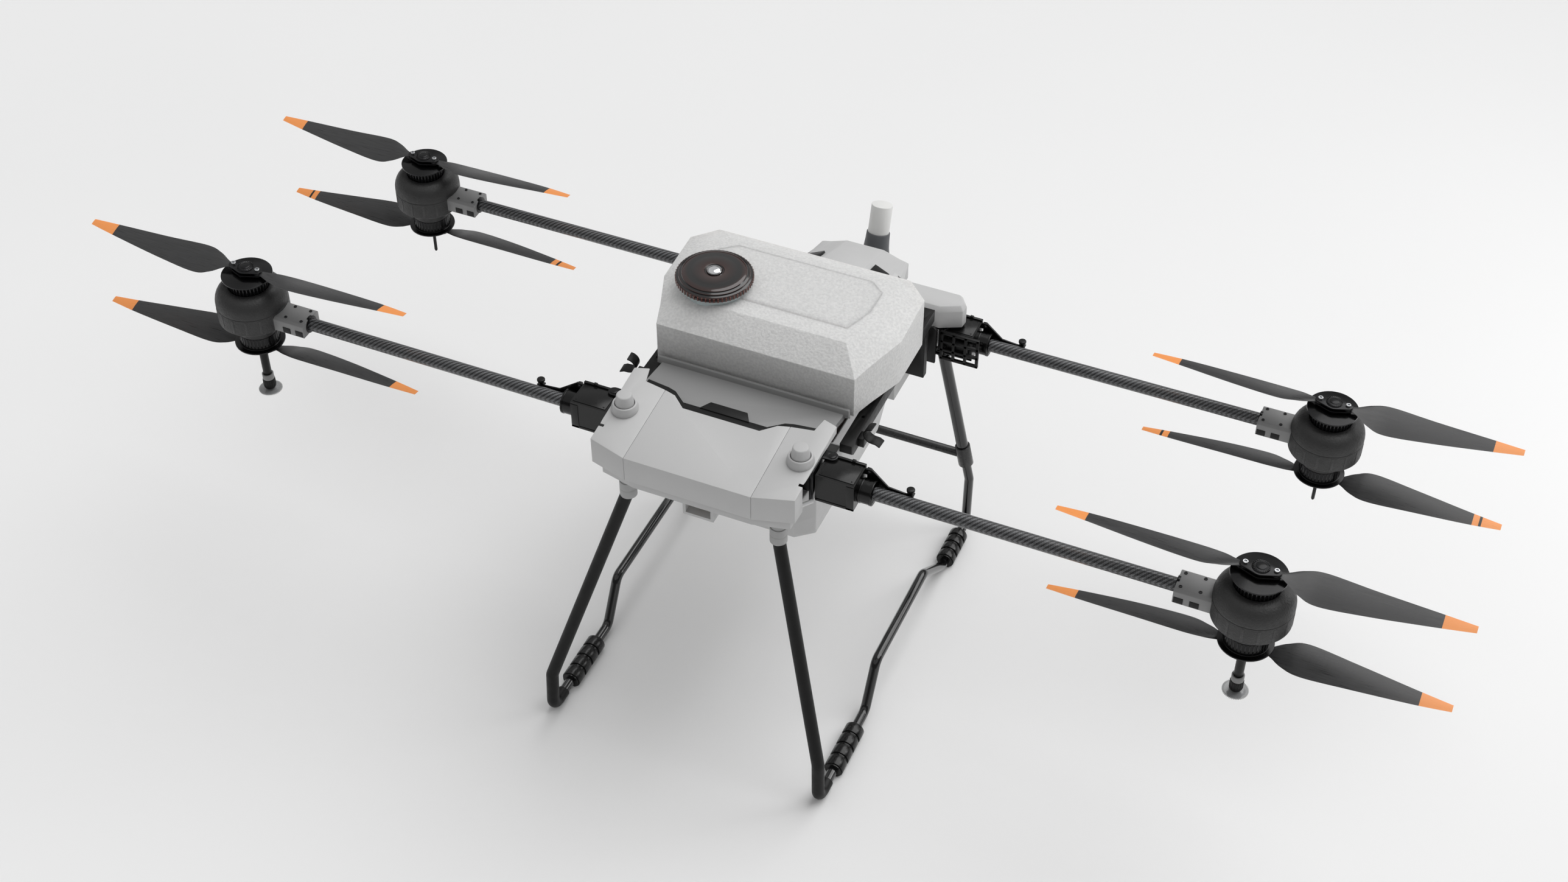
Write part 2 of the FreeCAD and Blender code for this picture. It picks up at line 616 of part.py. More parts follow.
def make_nose():
    middle = [(-panel_x, cover_nose_y), (panel_x, cover_nose_y), (panel_x, -270), (103, -276),
              (76.5, -299), (-76.5, -299), (-103, -276), (-panel_x, -270)]
    hollow = [(-panel_x - 1, cover_nose_y + wall), (panel_x + 1, cover_nose_y + wall), (panel_x + 1, -200),
              (103, -200), (76.5, -200), (-76.5, -200), (-103, -200), (-panel_x - 1, -200)]
    save("nose_cover", cover_shell(middle, hollow))
    inner = panel_x + seat_gap
    wing = [(inner, cover_nose_y), (wing_x, -426), (204, -240), (176, -232), (169, -263), (inner, -270)]
    wing_hollow = [(inner - 1, cover_nose_y + wall), (wing_x - wall, -426 + wall), (204 - wall, -200),
                   (176, -200), (169, -200), (inner - 1, -200)]
    wing_shell = cover_shell(wing, wing_hollow)
    bracket_top = tube_z["front"] + root_box_above + moving_gap + bracket_plate
    wing_shell = wing_shell.cut(box(wing_x - 9, 230, -392, -200, 640, bracket_top + moving_gap))
    save("nose_cover_wings", *pair(wing_shell))

    front_part = both_sides([(118, -430), (188, -414), (188, -276)])
    rear_part = both_sides([(rail_inner - 0.3, -278), (rail_inner - 0.3, -200)])
    pan = plate(front_part, pan_bottom, pan_top).fuse(plate(rear_part, pan_bottom, pan_top)).removeSplitter()
    for hollow_part in (plate(inset(front_part, wall), pan_bottom + wall, pan_top + 1),
                        plate(inset(rear_part, wall), pan_bottom + wall, pan_top + 1)):
        pan = pan.cut(hollow_part)
    for x in (-socket_x, socket_x):
        pan = pan.cut(upright(socket_r + seat_gap, pan_bottom - 1, pan_top + 1, x, socket_y))
    save("nose_pan", pan)

    collar = turned([(19, 714), (25.5, 714), (25.5, 726), (22.5, 736), (19, 736)])
    puck = turned([(0, 722), (18, 722), (17.5, 738), (14.6, 754), (13.4, 756), (0, 756)])
    collar = collar.cut(box(-40, 40, -40, 40, 700, 714 + 1).common(upright(40, 700, 715)))
    above = lofted([[(x, y, cover_height(y) + seat_gap) for x, y in ((140, -380), (210, -380), (210, -300), (140, -300))],
                    [(x, y, 780) for x, y in ((140, -380), (210, -380), (210, -300), (140, -300))]])
    pucks = [moved(s, gnss_x, gnss_y).common(above) for s in (collar, puck)]
    save("gnss_pucks", *[m for s in pucks for m in pair(s)])

    beams = []
    for end in ("front", "rear"):
        y, z = arm_y[end], tube_z[end]
        reach = root_box_inner - 4 - bracket_web
        outer = box(-reach, reach, y - 21, y + 21, z - 22, z + 25)
        beams.append(outer.cut(box(-reach - 1, reach + 1, y - 18, y + 18, z - 19, z + 22)))
    save("cross_beams", *beams)
    save("flight_controller", box(-46, 46, -410, -345, 622 + wall, 649))


def make_deck():
    opening = 2.0
    flat = plate(both_sides([(186, -158), (198, -100), (198, 135)]), deck_top - 5.5, deck_top)
    slope = cross_plate([(-276, 702), (-276, 708), (-158, 690), (-158, deck_top - 5.5), (-166, deck_top - 5.5)],
                        -186, 186)
    lip = cross_plate([(-164, 688), (-162, 702), (-156, 702), (-154, deck_top - 5)], -196, 196)
    block = cross_plate([(-288, 694), (-286, 712), (-272, 714), (-262, 700)], -45, 45)
    body = flat.fuse(slope).fuse(lip).fuse(block)
    body = body.cut(box(-sump_half_x - opening, sump_half_x + opening, sump_front - opening,
                        sump_rear + opening, 600, 690))
    save("tank_deck", body.removeSplitter())


def make_rails():
    rail = cross_plate([(rail_front, rail_bottom + 8), (rail_front + 10, rail_bottom), (rail_rear, rail_bottom),
                        (rail_rear, rail_top), (rail_front, rail_top)], rail_inner, rail_outer)
    post = box(rail_inner, rail_inner + 13, rail_rear - 16, rail_rear, post_foot, rail_bottom + 1)
    shelf = box(bay_half_x + 0.3, rail_inner + 1, rail_rear - 16, rail_rear, post_foot, post_foot + 60)
    rail = rail.fuse(post).fuse(shelf).removeSplitter()
    for y in payload_hole_y:
        rail = rail.cut(upright(payload_hole_r, rail_bottom - 1, rail_top + 1, payload_hole_x, y))
    save("side_rails", *pair(rail))


def make_belly():
    outline = both_sides([(135, -285), (belly_half_x, -250), (belly_half_x, 105)])
    middle = 500.0

    def skin(gap, top):
        floor = inset(both_sides([(125, -250), (158, -222), (158, 97)]), gap)
        return lofted([level(floor, belly_bottom + gap), level(inset(outline, gap), middle),
                       level(inset(outline, gap), top)])
    hatch = box(-hatch_half_x, hatch_half_x, -hatch_half_y, hatch_half_y, belly_bottom - 1, belly_bottom + 9)
    save("belly_tub", skin(0.0, pan_bottom - 0.3).cut(skin(wall, pan_bottom + 1)).cut(hatch))
    pumps = []
    for x in (-62, 62):
        motor = rod(24, V(x, -225, 470), V(x, -225, 545))
        head = box(x - 28, x + 28, -253, -197, 545.1, 575)
        pumps += [motor, head]
    save("spray_pumps", *pumps)


def make_rear():
    bay = box(-bay_half_x, bay_half_x, bay_front, bay_rear, bay_bottom, hump_foot - 1)
    bay = bay.cut(box(-bay_half_x + wall, bay_half_x - wall, bay_front + wall, bay_rear - wall,
                      bay_bottom + wall, hump_foot))
    wing = both_sides([(212, 281), (254, 302), (256, 320), (238, wing_rear)])
    shell = lofted([level(wing, wing_cover_bottom), level(wing, wing_cover_top - 10),
                    level(inset(wing, 7), wing_cover_top)])
    inner = lofted([level(inset(wing, wall), wing_cover_bottom - 1),
                    level(inset(wing, wall), wing_cover_top - 10 - wall / 2),
                    level(inset(wing, 7 + wall), wing_cover_top - wall)])
    save("rear_fairing", bay, shell.cut(inner))
    save("battery_pack", box(-96, 96, bay_front + 8, bay_rear - 8, bay_bottom + wall, battery_top))

    def section(y, half):
        return [(x, y, z) for x, z in half] + [(-x, y, z) for x, z in reversed(half)]
    outer = lofted([section(hump_front, [(150, hump_foot), (146, 640), (100, 680), (48, 711)]),
                    section(hump_rear, [(96, hump_foot), (90, 606), (77, 609), (41, 622)])])
    hollow = lofted([section(hump_front - 1, [(146, hump_foot - 1), (142, 636), (98, 675), (46, 707)]),
                     section(hump_rear - 26, [(98, hump_foot - 1), (92, 605), (76, 610), (39, 627)])])
    skirt = box(-96, 96, wing_rear + 2, hump_rear, wing_cover_bottom, hump_foot)
    skirt = skirt.cut(box(-93, 93, wing_rear + 1, hump_rear - wall, wing_cover_bottom - 1, hump_foot + 1))
    over_wing = box(-300, 300, 280, wing_rear + 1, 500, wing_cover_top + 0.3)
    save("rear_hump", outer.fuse(skirt).cut(hollow).cut(over_wing).removeSplitter())


def make_antenna():
    lean = math.radians(16.4)
    axis = V(0, math.sin(lean), math.cos(lean))
    radius = 22.5
    top = V(0, half_length - radius * math.cos(lean), 665)
    joint = top - axis * 64
    mast = rod(radius, joint, top)
    rings = [(38, -66), (30, -50), (25.5, -22), (24.5, 0)]
    flare = turned([(0, rings[0][1])] + rings + [(0, 0)])
    flare.Placement = FreeCAD.Placement(joint, FreeCAD.Rotation(Z, axis))
    stay = box(-18, 18, hump_rear + 0.2, 452, 548, 572)
    base = flare.fuse(stay).removeSplitter().cut(box(-60, 60, hump_rear - 60, hump_rear + 0.2, 500, 700))
    save("antenna", base, mast)


def make_landing_gear():
    foot_y = -half_length + leg_r
    skid_joint = foot_y + 26
    knee = V(foot_x, 318, knee_z)
    climb = (rear_leg_top - knee)
    collar_middle = knee + climb * 0.2
    along = V(climb).normalize()

    leg = bent_tube([V(socket_x, socket_y, socket_bottom + 8),
                     V(foot_x - 3, foot_y + 4, 110), V(foot_x, foot_y, skid_axis_z),
                     V(foot_x, skid_joint + 18, skid_axis_z)], 22, leg_r, leg_wall)
    leg = leg.cut(box(100, 400, -500, -300, socket_bottom - seat_gap, 700))
    foot_slack = half_length + leg.optimalBoundingBox(False).YMin
    save("front_legs", *pair(moved(leg, y=-foot_slack)))

    skid = bent_tube([V(foot_x, skid_joint, skid_axis_z), V(foot_x, -268, skid_axis_z),
                      V(foot_x, -214, arch_z), V(foot_x, 46, arch_z), V(foot_x, 172, skid_axis_z),
                      V(foot_x, 318, skid_axis_z), knee, collar_middle], 24, skid_r, skid_wall)
    save("skid_runners", *pair(skid))

    upper_start = collar_middle + along * 2
    rear_leg = rod(leg_r, upper_start, rear_leg_top + along * 30).cut(
        rod(leg_r - leg_wall, upper_start - along, rear_leg_top + along * 31))
    rear_leg = rear_leg.cut(box(100, 400, 200, 400, rear_leg_top.z, 700))
    save("rear_legs", *pair(rear_leg))

    low, high = collar_middle - along * (collar_length_leg / 2), collar_middle + along * (collar_length_leg / 2)
    collar = rod(leg_collar_r, low, high).cut(rod(leg_r + seat_gap, upper_start - along, high + along))
    collar = collar.cut(rod(skid_r + seat_gap, low - along, high + along))
    bar = rod(crossbar_r, V(-collar_middle.x, collar_middle.y, collar_middle.z), collar_middle)
    bar = bar.cut(rod(crossbar_r - 1.5, V(-300, collar_middle.y, collar_middle.z),
                      V(300, collar_middle.y, collar_middle.z)))
    for side in pair(rod(leg_collar_r + seat_gap, low - along * 9, high + along * 9)):
        bar = bar.cut(side)
    socket = turned([(0, pan_top), (socket_r, pan_top), (socket_r, pan_bottom), (14.5, 592.5), (16.5, 592),
                     (16.5, 575), (15.9, 574), (16.5, 573), (16.5, socket_bottom), (0, socket_bottom)])
    socket = moved(socket, socket_x, socket_y)
    save("leg_fittings", bar, *(pair(collar) + pair(socket)))

    sleeves = []
    run = sleeve_segments * sleeve_pitch
    for start, count in ((-435.0, sleeve_segments), (186.0, sleeve_segments)):
        pitch = sleeve_pitch if start < 0 else (92.0 / sleeve_segments)
        for k in range(count):
            y0 = start + k * pitch
            tube = rod(sleeve_r, V(foot_x, y0, skid_axis_z), V(foot_x, y0 + pitch - sleeve_joint, skid_axis_z))
            tube = tube.cut(rod(skid_r + seat_gap, V(foot_x, y0 - 1, skid_axis_z),
                                V(foot_x, y0 + pitch, skid_axis_z)))
            tube = tube.cut(box(foot_x - sleeve_slot / 2, foot_x + sleeve_slot / 2, y0 - 1, y0 + pitch,
                                -9, skid_axis_z))
            tube = tube.cut(box(foot_x - 30, foot_x + 30, y0 - 1, y0 + pitch, -9, 0))
            sleeves += pair(tube)
    save("skid_sleeves", *sleeves)


def make_clips():
    """Open hooks on the rails that the folded front tubes come to rest in."""
    turn = math.radians(stowed_angle)
    reach = 125.0
    x = hinge_x + reach * math.cos(turn) + hinge_inset * math.sin(turn)
    y = arm_y["front"] + hinge_inset + reach * math.sin(turn) - hinge_inset * math.cos(turn)
    z = tube_z["front"]
    inner, thick, half = arm_tube_r + 1.0, 3.0, 11.0
    hook = rod(inner + thick, V(0, -half, 0), V(0, half, 0)).cut(rod(inner, V(0, -half - 1, 0), V(0, half + 1, 0)))
    hook = hook.cut(box(0, 40, -half - 1, half + 1, -40, 40))
    lip = side_plate([(0, -inner), (9, -inner), (17, -inner - 4), (17, -inner - 7), (8, -inner - thick),
                      (0, -inner - thick)], -half, half)
    hook = hook.fuse(lip)
    hook.rotate(V(0, 0, 0), Z, stowed_angle - 90)
    hook.translate(V(x, y, z))
    stay = box(rail_outer, x - inner - 1, y - half, y + half, rail_bottom + 4, rail_top - 4)
    hook = hook.fuse(stay.cut(rod(inner + 1, V(x, y - 40, z), V(x, y + 40, z)))).removeSplitter()
    save("arm_clips", *pair(hook))


def make_camera():
    half, floor, roof = camera_frame_half_x, camera_frame_bottom, camera_frame_top
    frame = box(-half, half, camera_frame_front, camera_frame_rear, floor, roof)
    frame = frame.cut(box(-half + 6, half - 6, camera_frame_front - 1, camera_frame_rear + 1, floor + 6, roof - 6))
    y = (camera_frame_front + camera_frame_rear) / 2
    frame = frame.cut(rod(camera_pin_r + running_gap, V(-half - 1, y, camera_pivot_z), V(half + 1, y, camera_pivot_z)))
    save("camera_frame", frame)
    barrel = upright(6.5, camera_pivot_z - 11, camera_pivot_z + 11, 0, y)
    axle = rod(camera_pin_r, V(-half + 1, y, camera_pivot_z), V(half - 1, y, camera_pivot_z))
    lens = rod(4.5, V(0, y - 12, camera_pivot_z + 2), V(0, y, camera_pivot_z + 2))
    save("fpv_camera", barrel.fuse(axle).fuse(lens).removeSplitter())


os.makedirs("parts", exist_ok=True)
make_arms()
make_tank()
make_nose()
make_deck()
make_rails()
make_belly()
make_rear()
make_antenna()
make_landing_gear()
make_clips()
make_camera()
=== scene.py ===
# %% [markdown]
# # An agricultural spray drone
# The frame brings every solid part in its true place. This lesson gives each surface a procedural
# material, rounds the moulded parts as a mould does, and models the details that are too fine for
# the solid model: ribs, grilles, screws, knobs and aerofoil blades. One unit is one metre.

# %% Load the frame
import bmesh
import bpy
import json
import math
from mathutils import Matrix, Vector


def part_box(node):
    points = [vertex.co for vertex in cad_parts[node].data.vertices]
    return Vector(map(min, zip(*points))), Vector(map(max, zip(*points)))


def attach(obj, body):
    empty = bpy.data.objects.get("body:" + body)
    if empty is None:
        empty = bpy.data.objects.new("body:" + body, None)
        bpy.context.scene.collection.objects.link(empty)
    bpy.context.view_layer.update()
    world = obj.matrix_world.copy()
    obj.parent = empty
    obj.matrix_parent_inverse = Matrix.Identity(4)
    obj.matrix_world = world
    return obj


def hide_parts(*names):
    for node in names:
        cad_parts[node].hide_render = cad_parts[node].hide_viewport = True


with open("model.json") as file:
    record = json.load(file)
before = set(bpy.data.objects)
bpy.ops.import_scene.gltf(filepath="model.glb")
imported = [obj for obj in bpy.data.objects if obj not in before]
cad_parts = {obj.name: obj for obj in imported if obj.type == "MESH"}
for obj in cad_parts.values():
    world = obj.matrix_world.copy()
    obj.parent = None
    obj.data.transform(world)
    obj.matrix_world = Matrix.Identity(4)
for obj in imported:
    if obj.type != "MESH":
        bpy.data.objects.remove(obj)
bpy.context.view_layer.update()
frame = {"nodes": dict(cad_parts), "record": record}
MM = 0.001

# %% [markdown]
# ## Material tools
# A finish is a small tree of nodes, and the same few steps come back in every tree. They could be
# set by hand in the shader editor, but short helpers keep each finish to a few readable lines.
# Colours are written as sRGB hex and turned linear in one place. `add` makes a node with its
# settings and its links. Patterns read Object coordinates, and their scales are in millimetres.

# %% Colour and node helpers
def colour(code):
    parts = [int(code[i:i + 2], 16) / 255 for i in (1, 3, 5)]
    return [c / 12.92 if c <= 0.04045 else ((c + 0.055) / 1.055) ** 2.4 for c in parts] + [1.0]


def add(tree, kind, inputs=(), **settings):
    made = tree.nodes.new(kind)
    for key, value in settings.items():
        setattr(made, key, value)
    for key, value in dict(inputs).items():
        if isinstance(value, bpy.types.NodeSocket):
            tree.links.new(value, made.inputs[key])
        else:
            made.inputs[key].default_value = value
    return made


def maths(tree, operation, a, b=0.0):
    return add(tree, "ShaderNodeMath", {0: a, 1: b}, operation=operation).outputs[0]


def blended(tree, factor, a, b):
    mix = add(tree, "ShaderNodeMix", {0: factor, 6: a, 7: b}, data_type="RGBA")
    return mix.outputs[2]


def start_material(name):
    material = bpy.data.materials.new(name)
    material.use_nodes = True
    tree = material.node_tree
    tree.nodes.clear()
    shader = add(tree, "ShaderNodeBsdfPrincipled")
    add(tree, "ShaderNodeOutputMaterial", {"Surface": shader.outputs[0]})
    place = add(tree, "ShaderNodeTexCoord").outputs["Object"]
    return material, tree, shader, place


def noise(tree, place, size_mm, detail=3.0):
    inputs = {"Vector": place, "Scale": 1000.0 / size_mm, "Detail": detail}
    return add(tree, "ShaderNodeTexNoise", inputs).outputs[0]


def spread(tree, value, low, high, start, end):
    """The value's range low to high, stretched to start to end."""
    return add(tree, "ShaderNodeMapRange", {0: value, 1: low, 2: high, 3: start, 4: end}).outputs[0]


# %% [markdown]
# ## Moulded plastic, rubber and metal
# The covers, pods and arm roots are moulded plastic, the sleeves rubber, the bells anodised metal.
# None is evenly coloured or evenly glossy. Painted maps could show that, but each part would need
# its own layout, so one procedural recipe covers them all: a large soft mottle in the colour, a
# fine grain in the bump, worn edges that are a little lighter, and a roughness that wanders.

# %% The surface recipe
def surface(name, base, edge=None, grain_mm=0.8, grain=0.25, mottle_mm=60.0, mottle=0.12, rough=0.45,
            rough_spread=0.12, metal=0.0, coat=0.0, stretch=(1, 1, 1), shine=0.5):
    material, tree, shader, place = start_material(name)
    scaled = add(tree, "ShaderNodeMapping", {"Vector": place, "Scale": stretch}).outputs[0]
    cloudy = noise(tree, place, mottle_mm)
    fine = noise(tree, scaled, grain_mm)
    dark = [c * (1 - mottle) for c in colour(base)[:3]] + [1.0]
    tint = blended(tree, cloudy, dark, colour(base))
    bent = add(tree, "ShaderNodeNewGeometry").outputs["Pointiness"]
    worn = spread(tree, bent, 0.51, 0.58, 0.0, 0.45)
    tint = blended(tree, worn, tint, colour(edge or base))
    wander = spread(tree, noise(tree, place, mottle_mm / 4), 0.3, 0.7, rough - rough_spread / 2,
                    rough + rough_spread / 2)
    depth = 0.3 * MM * max(grain_mm, 1.0)
    bump = add(tree, "ShaderNodeBump", {"Strength": grain, "Distance": depth, "Height": fine})
    for key, value in (("Base Color", tint), ("Roughness", wander), ("Normal", bump.outputs[0])):
        tree.links.new(value, shader.inputs[key])
    shader.inputs["Metallic"].default_value = metal
    shader.inputs["Coat Weight"].default_value = coat
    shader.inputs["Specular IOR Level"].default_value = shine
    return material


# Each line reads: name, colour, edge colour, grain size and depth, mottle size and depth, roughness
# and its spread.
cover_grey = surface("moulded_light_grey_plastic", "#BDBDBD", "#CCCCCC", 1.2, 0.35, 90, 0.06, 0.48)
rear_grey = surface("moulded_grained_grey_plastic", "#C0C0C0", "#CDCDCD", 1.6, 0.6, 90, 0.08, 0.6)
gloss_black = surface("gloss_black_nylon", "#050505", "#181818", 2.5, 0.05, 40, 0.3, 0.2, 0.1, shine=0.35)
structure_black = surface("matte_black_composite", "#090909", "#202020", 1.0, 0.3, 40, 0.3, 0.42, shine=0.25)
pod_grey = surface("grained_dark_nylon", "#2C2C2C", "#454545", 3.2, 1.0, 30, 0.25, 0.5)
clamp_grey = surface("grained_clamp_nylon", "#838383", "#979797", 1.2, 0.3, 30, 0.15, 0.45)
black_anodised = surface("black_anodised_aluminium", "#0C0C0D", "#3A3A3C", 0.8, 0.04, 20, 0.2, 0.2, 0.08, 0.5)
steel = surface("brushed_stainless_steel", "#B9BBBE", "#E6E6E6", 0.5, 0.12, 8, 0.12, 0.26, 0.1, 1.0,
                stretch=(1, 1, 0.1))
chrome = surface("polished_chrome", "#DCDDDF", "#FFFFFF", 3.0, 0.02, 20, 0.05, 0.07, 0.03, 1.0)
brass = surface("satin_brass", "#A08A63", "#D0BC90", 0.6, 0.1, 8, 0.15, 0.35, 0.1, 0.9)
stator_copper = surface("enamelled_copper_winding", "#7A4526", "#A86A40", 0.7, 0.6, 6, 0.3, 0.4, 0.1, 0.6,
                        stretch=(1, 1, 0.2))
cap_black = surface("gloss_black_cap_plastic", "#0D0B0B", "#8C4636", 2.0, 0.03, 30, 0.2, 0.14, 0.06, coat=0.5)
leg_matte = surface("matte_black_tube_lacquer", "#0A0A0A", "#1C1C1C", 0.9, 0.4, 50, 0.3, 0.46, shine=0.25)
rubber = surface("ribbed_black_rubber", "#080808", "#1E1E1E", 0.7, 0.1, 20, 0.3, 0.24, 0.1, shine=0.4)
fitting_grey = surface("moulded_fitting_grey_nylon", "#A6A6A6", "#BBBBBB", 1.0, 0.3, 30, 0.08, 0.45)
collar_grey = surface("moulded_dark_collar_nylon", "#262626", "#444444", 1.0, 0.3, 30, 0.2, 0.3)
antenna_white = surface("moulded_white_plastic", "#E4E4E2", "#F0F0EE", 1.2, 0.2, 60, 0.04, 0.42)
antenna_grey = surface("moulded_dark_grey_plastic", "#56585B", "#6E7073", 1.0, 0.3, 40, 0.15, 0.5)
deck_grey = surface("moulded_mid_grey_plastic", "#8E8E8E", "#A2A2A2", 1.2, 0.35, 90, 0.08, 0.5)
disc_plastic = surface("moulded_smoky_disc_plastic", "#9A9B9C", "#D5D5D5", 1.0, 0.15, 10, 0.15, 0.25,
                       0.1, coat=0.6)
battery_dark = surface("moulded_battery_case", "#232427", "#3B3C3F", 1.0, 0.4, 40, 0.2, 0.5)
white_strut = surface("moulded_white_tie_plastic", "#D9DADA", "#EEEEEE", 0.9, 0.2, 30, 0.06, 0.4)
print("surfaces:", len(bpy.data.materials))

# %% [markdown]
# ## Frosted tank
# The tank is blow-moulded polyethylene, which scatters light inside its wall. Clear transmission
# would be slow and noisy and show an empty inside, so an opaque milky shader stands for it. The
# edges pick up a faint warm tint, and a fine speckle frosts the skin.

# %% The tank material
def frosted(name, base, warm, scatter_mm):
    material, tree, shader, place = start_material(name)
    fuzz = noise(tree, place, 5.0, 6.0)
    cloudy = noise(tree, place, 45.0)
    tint = blended(tree, cloudy, [c * 0.93 for c in colour(base)[:3]] + [1.0], colour(base))
    speck = spread(tree, fuzz, 0.35, 0.65, 0.0, 0.55)
    tint = blended(tree, speck, tint, colour("#C4C4C4"))
    bent = add(tree, "ShaderNodeNewGeometry").outputs["Pointiness"]
    worn = spread(tree, bent, 0.535, 0.6, 0.0, 0.6)
    tint = blended(tree, worn, tint, colour(warm))
    bump = add(tree, "ShaderNodeBump", {"Strength": 0.8, "Distance": 0.0016, "Height": fuzz})
    rough = spread(tree, fuzz, 0.2, 0.8, 0.4, 0.58)
    for key, value in (("Base Color", tint), ("Normal", bump.outputs[0]), ("Roughness", rough)):
        tree.links.new(value, shader.inputs[key])
    shader.inputs["Subsurface Weight"].default_value = 0.35
    shader.inputs["Subsurface Radius"].default_value = (0.9, 0.9, 0.9)
    shader.inputs["Subsurface Scale"].default_value = scatter_mm * MM
    return material


tank_white = frosted("frosted_polyethylene", "#E2E2E1", "#D9B9AC", 8.0)
neck_white = frosted("frosted_neck_polyethylene", "#C3D2D4", "#CFC4C0", 6.0)
print("tank materials:", tank_white.name, neck_white.name)

# %% [markdown]
# ## Carbon twill
# The arms are carbon tubes with a diagonal cloth weave. A flat cloth map would stretch round a
# tube, so the weave is worked out from the angle about the tube's own axis, and each height of
# tube has its own material. Two-by-two twill: a cell shows warp or weft by the sum of its column
# and row. The weave is real, but the light grey of the warp cells is a painted sheen that stands
# in for the light the fibres reflect.

# %% The weave
def twill(name, along, axis_y, axis_z, radius, cell_mm=2.4):
    material, tree, shader, place = start_material(name)
    split = add(tree, "ShaderNodeSeparateXYZ", {0: place})
    run = split.outputs[0 if along == "X" else 1]
    side = maths(tree, "SUBTRACT", split.outputs[1 if along == "X" else 0], axis_y)
    up = maths(tree, "SUBTRACT", split.outputs[2], axis_z)
    around = maths(tree, "MULTIPLY", maths(tree, "ARCTAN2", up, side), radius)
    across = maths(tree, "DIVIDE", around, cell_mm * MM)
    down = maths(tree, "DIVIDE", run, cell_mm * MM)
    diagonal = maths(tree, "ADD", maths(tree, "FLOOR", across), maths(tree, "FLOOR", down))
    warp = maths(tree, "LESS_THAN", maths(tree, "FLOORED_MODULO", diagonal, 4.0), 2.0)
    crown_a = maths(tree, "SINE", maths(tree, "MULTIPLY", maths(tree, "FRACT", across), math.pi))
    crown_b = maths(tree, "SINE", maths(tree, "MULTIPLY", maths(tree, "FRACT", down), math.pi))
    height = add(tree, "ShaderNodeMix", {0: warp, 2: crown_a, 3: crown_b}).outputs[0]
    cloudy = noise(tree, place, 25.0)
    # painted sheen: the warp cells are painted light grey to stand in for light reflected by the fibres; the
    # weave pattern itself is real
    tint = blended(tree, warp, colour("#121213"), colour("#6C6D6F"))
    tint = blended(tree, maths(tree, "MULTIPLY", cloudy, 0.5), tint, colour("#26272A"))
    bump = add(tree, "ShaderNodeBump", {"Strength": 0.55, "Distance": 0.0005, "Height": height})
    rough = spread(tree, warp, 0.0, 1.0, 0.24, 0.42)
    for key, value in (("Base Color", tint), ("Normal", bump.outputs[0]), ("Roughness", rough)):
        tree.links.new(value, shader.inputs[key])
    shader.inputs["Metallic"].default_value = 0.35
    shader.inputs["Coat Weight"].default_value = 0.6
    shader.inputs["Coat Roughness"].default_value = 0.15
    return material


tube_low, tube_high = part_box("front_left_arm_tube")
rear_low, rear_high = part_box("rear_left_arm_tube")
front_y, front_z = -(abs(tube_low[1]) + abs(tube_high[1])) / 2, (tube_low[2] + tube_high[2]) / 2
rear_y, rear_z = (rear_low[1] + rear_high[1]) / 2, (rear_low[2] + rear_high[2]) / 2
tube_r = 13 * MM
weave = {"front": twill("carbon_twill_front_tube", "X", front_y, front_z, tube_r),
         "rear": twill("carbon_twill_rear_tube", "X", rear_y, rear_z, tube_r)}
skid_gloss = surface("gloss_black_tube_lacquer", "#0B0B0C", "#1E1E20", 3.0, 0.06, 40, 0.3, 0.14, 0.06,
                     coat=0.5)
print("weaves:", *(m.name for m in weave.values()))

# %% [markdown]
# ## Blade finish
# The blades are carbon-filled nylon with long faint flow streaks. Past the start of the tip the
# paint is orange; the lower rear pair also carries a thin dark stripe. The tip could be a second
# material on its own faces, but then the mesh would have to follow its edge, so one material
# changes colour by the distance along the blade.

# %% The blade material
motor_x = 1.0
tip_start = 0.3025
hub_spacing = 207.0


def blade_paint(name, stripe):
    material, tree, shader, place = start_material(name)
    across = add(tree, "ShaderNodeSeparateXYZ", {0: place}).outputs[0]
    reach = maths(tree, "ABSOLUTE", maths(tree, "SUBTRACT", maths(tree, "ABSOLUTE", across), motor_x))
    streaks = add(tree, "ShaderNodeMapping", {"Vector": place, "Scale": (0.05, 1, 1)}).outputs[0]
    fine = noise(tree, streaks, 2.0)
    grain = noise(tree, place, 0.9)
    body = blended(tree, fine, colour("#242424"), colour("#3C3C3D"))
    orange = blended(tree, grain, colour("#EE8F45"), colour("#F6A25C"))
    tint = blended(tree, maths(tree, "GREATER_THAN", reach, tip_start), body, orange)
    if stripe:
        band = maths(tree, "MULTIPLY", maths(tree, "GREATER_THAN", reach, tip_start + 0.012),
                     maths(tree, "LESS_THAN", reach, tip_start + 0.017))
        tint = blended(tree, band, tint, colour("#1A1A1B"))
    bump = add(tree, "ShaderNodeBump", {"Strength": 0.25, "Distance": 0.0003, "Height": grain})
    rough = spread(tree, fine, 0.3, 0.7, 0.26, 0.42)
    for key, value in (("Base Color", tint), ("Normal", bump.outputs[0]), ("Roughness", rough)):
        tree.links.new(value, shader.inputs[key])
    return material


plain_blade = blade_paint("painted_nylon_blade", False)
striped_blade = blade_paint("striped_nylon_blade", True)
print("materials:", len(bpy.data.materials))

# %% [markdown]
# ## Mesh tools
# The trim is many small shapes, and one object for each would be hard to keep in order. A block is
# (points, faces, material, bevel width in millimetres, or width and segments). `piece` joins
# blocks into one object at the origin, rounds their sharp edges, turns the faces outwards and
# gives it to its body. The rounding matters, because real edges catch the light.

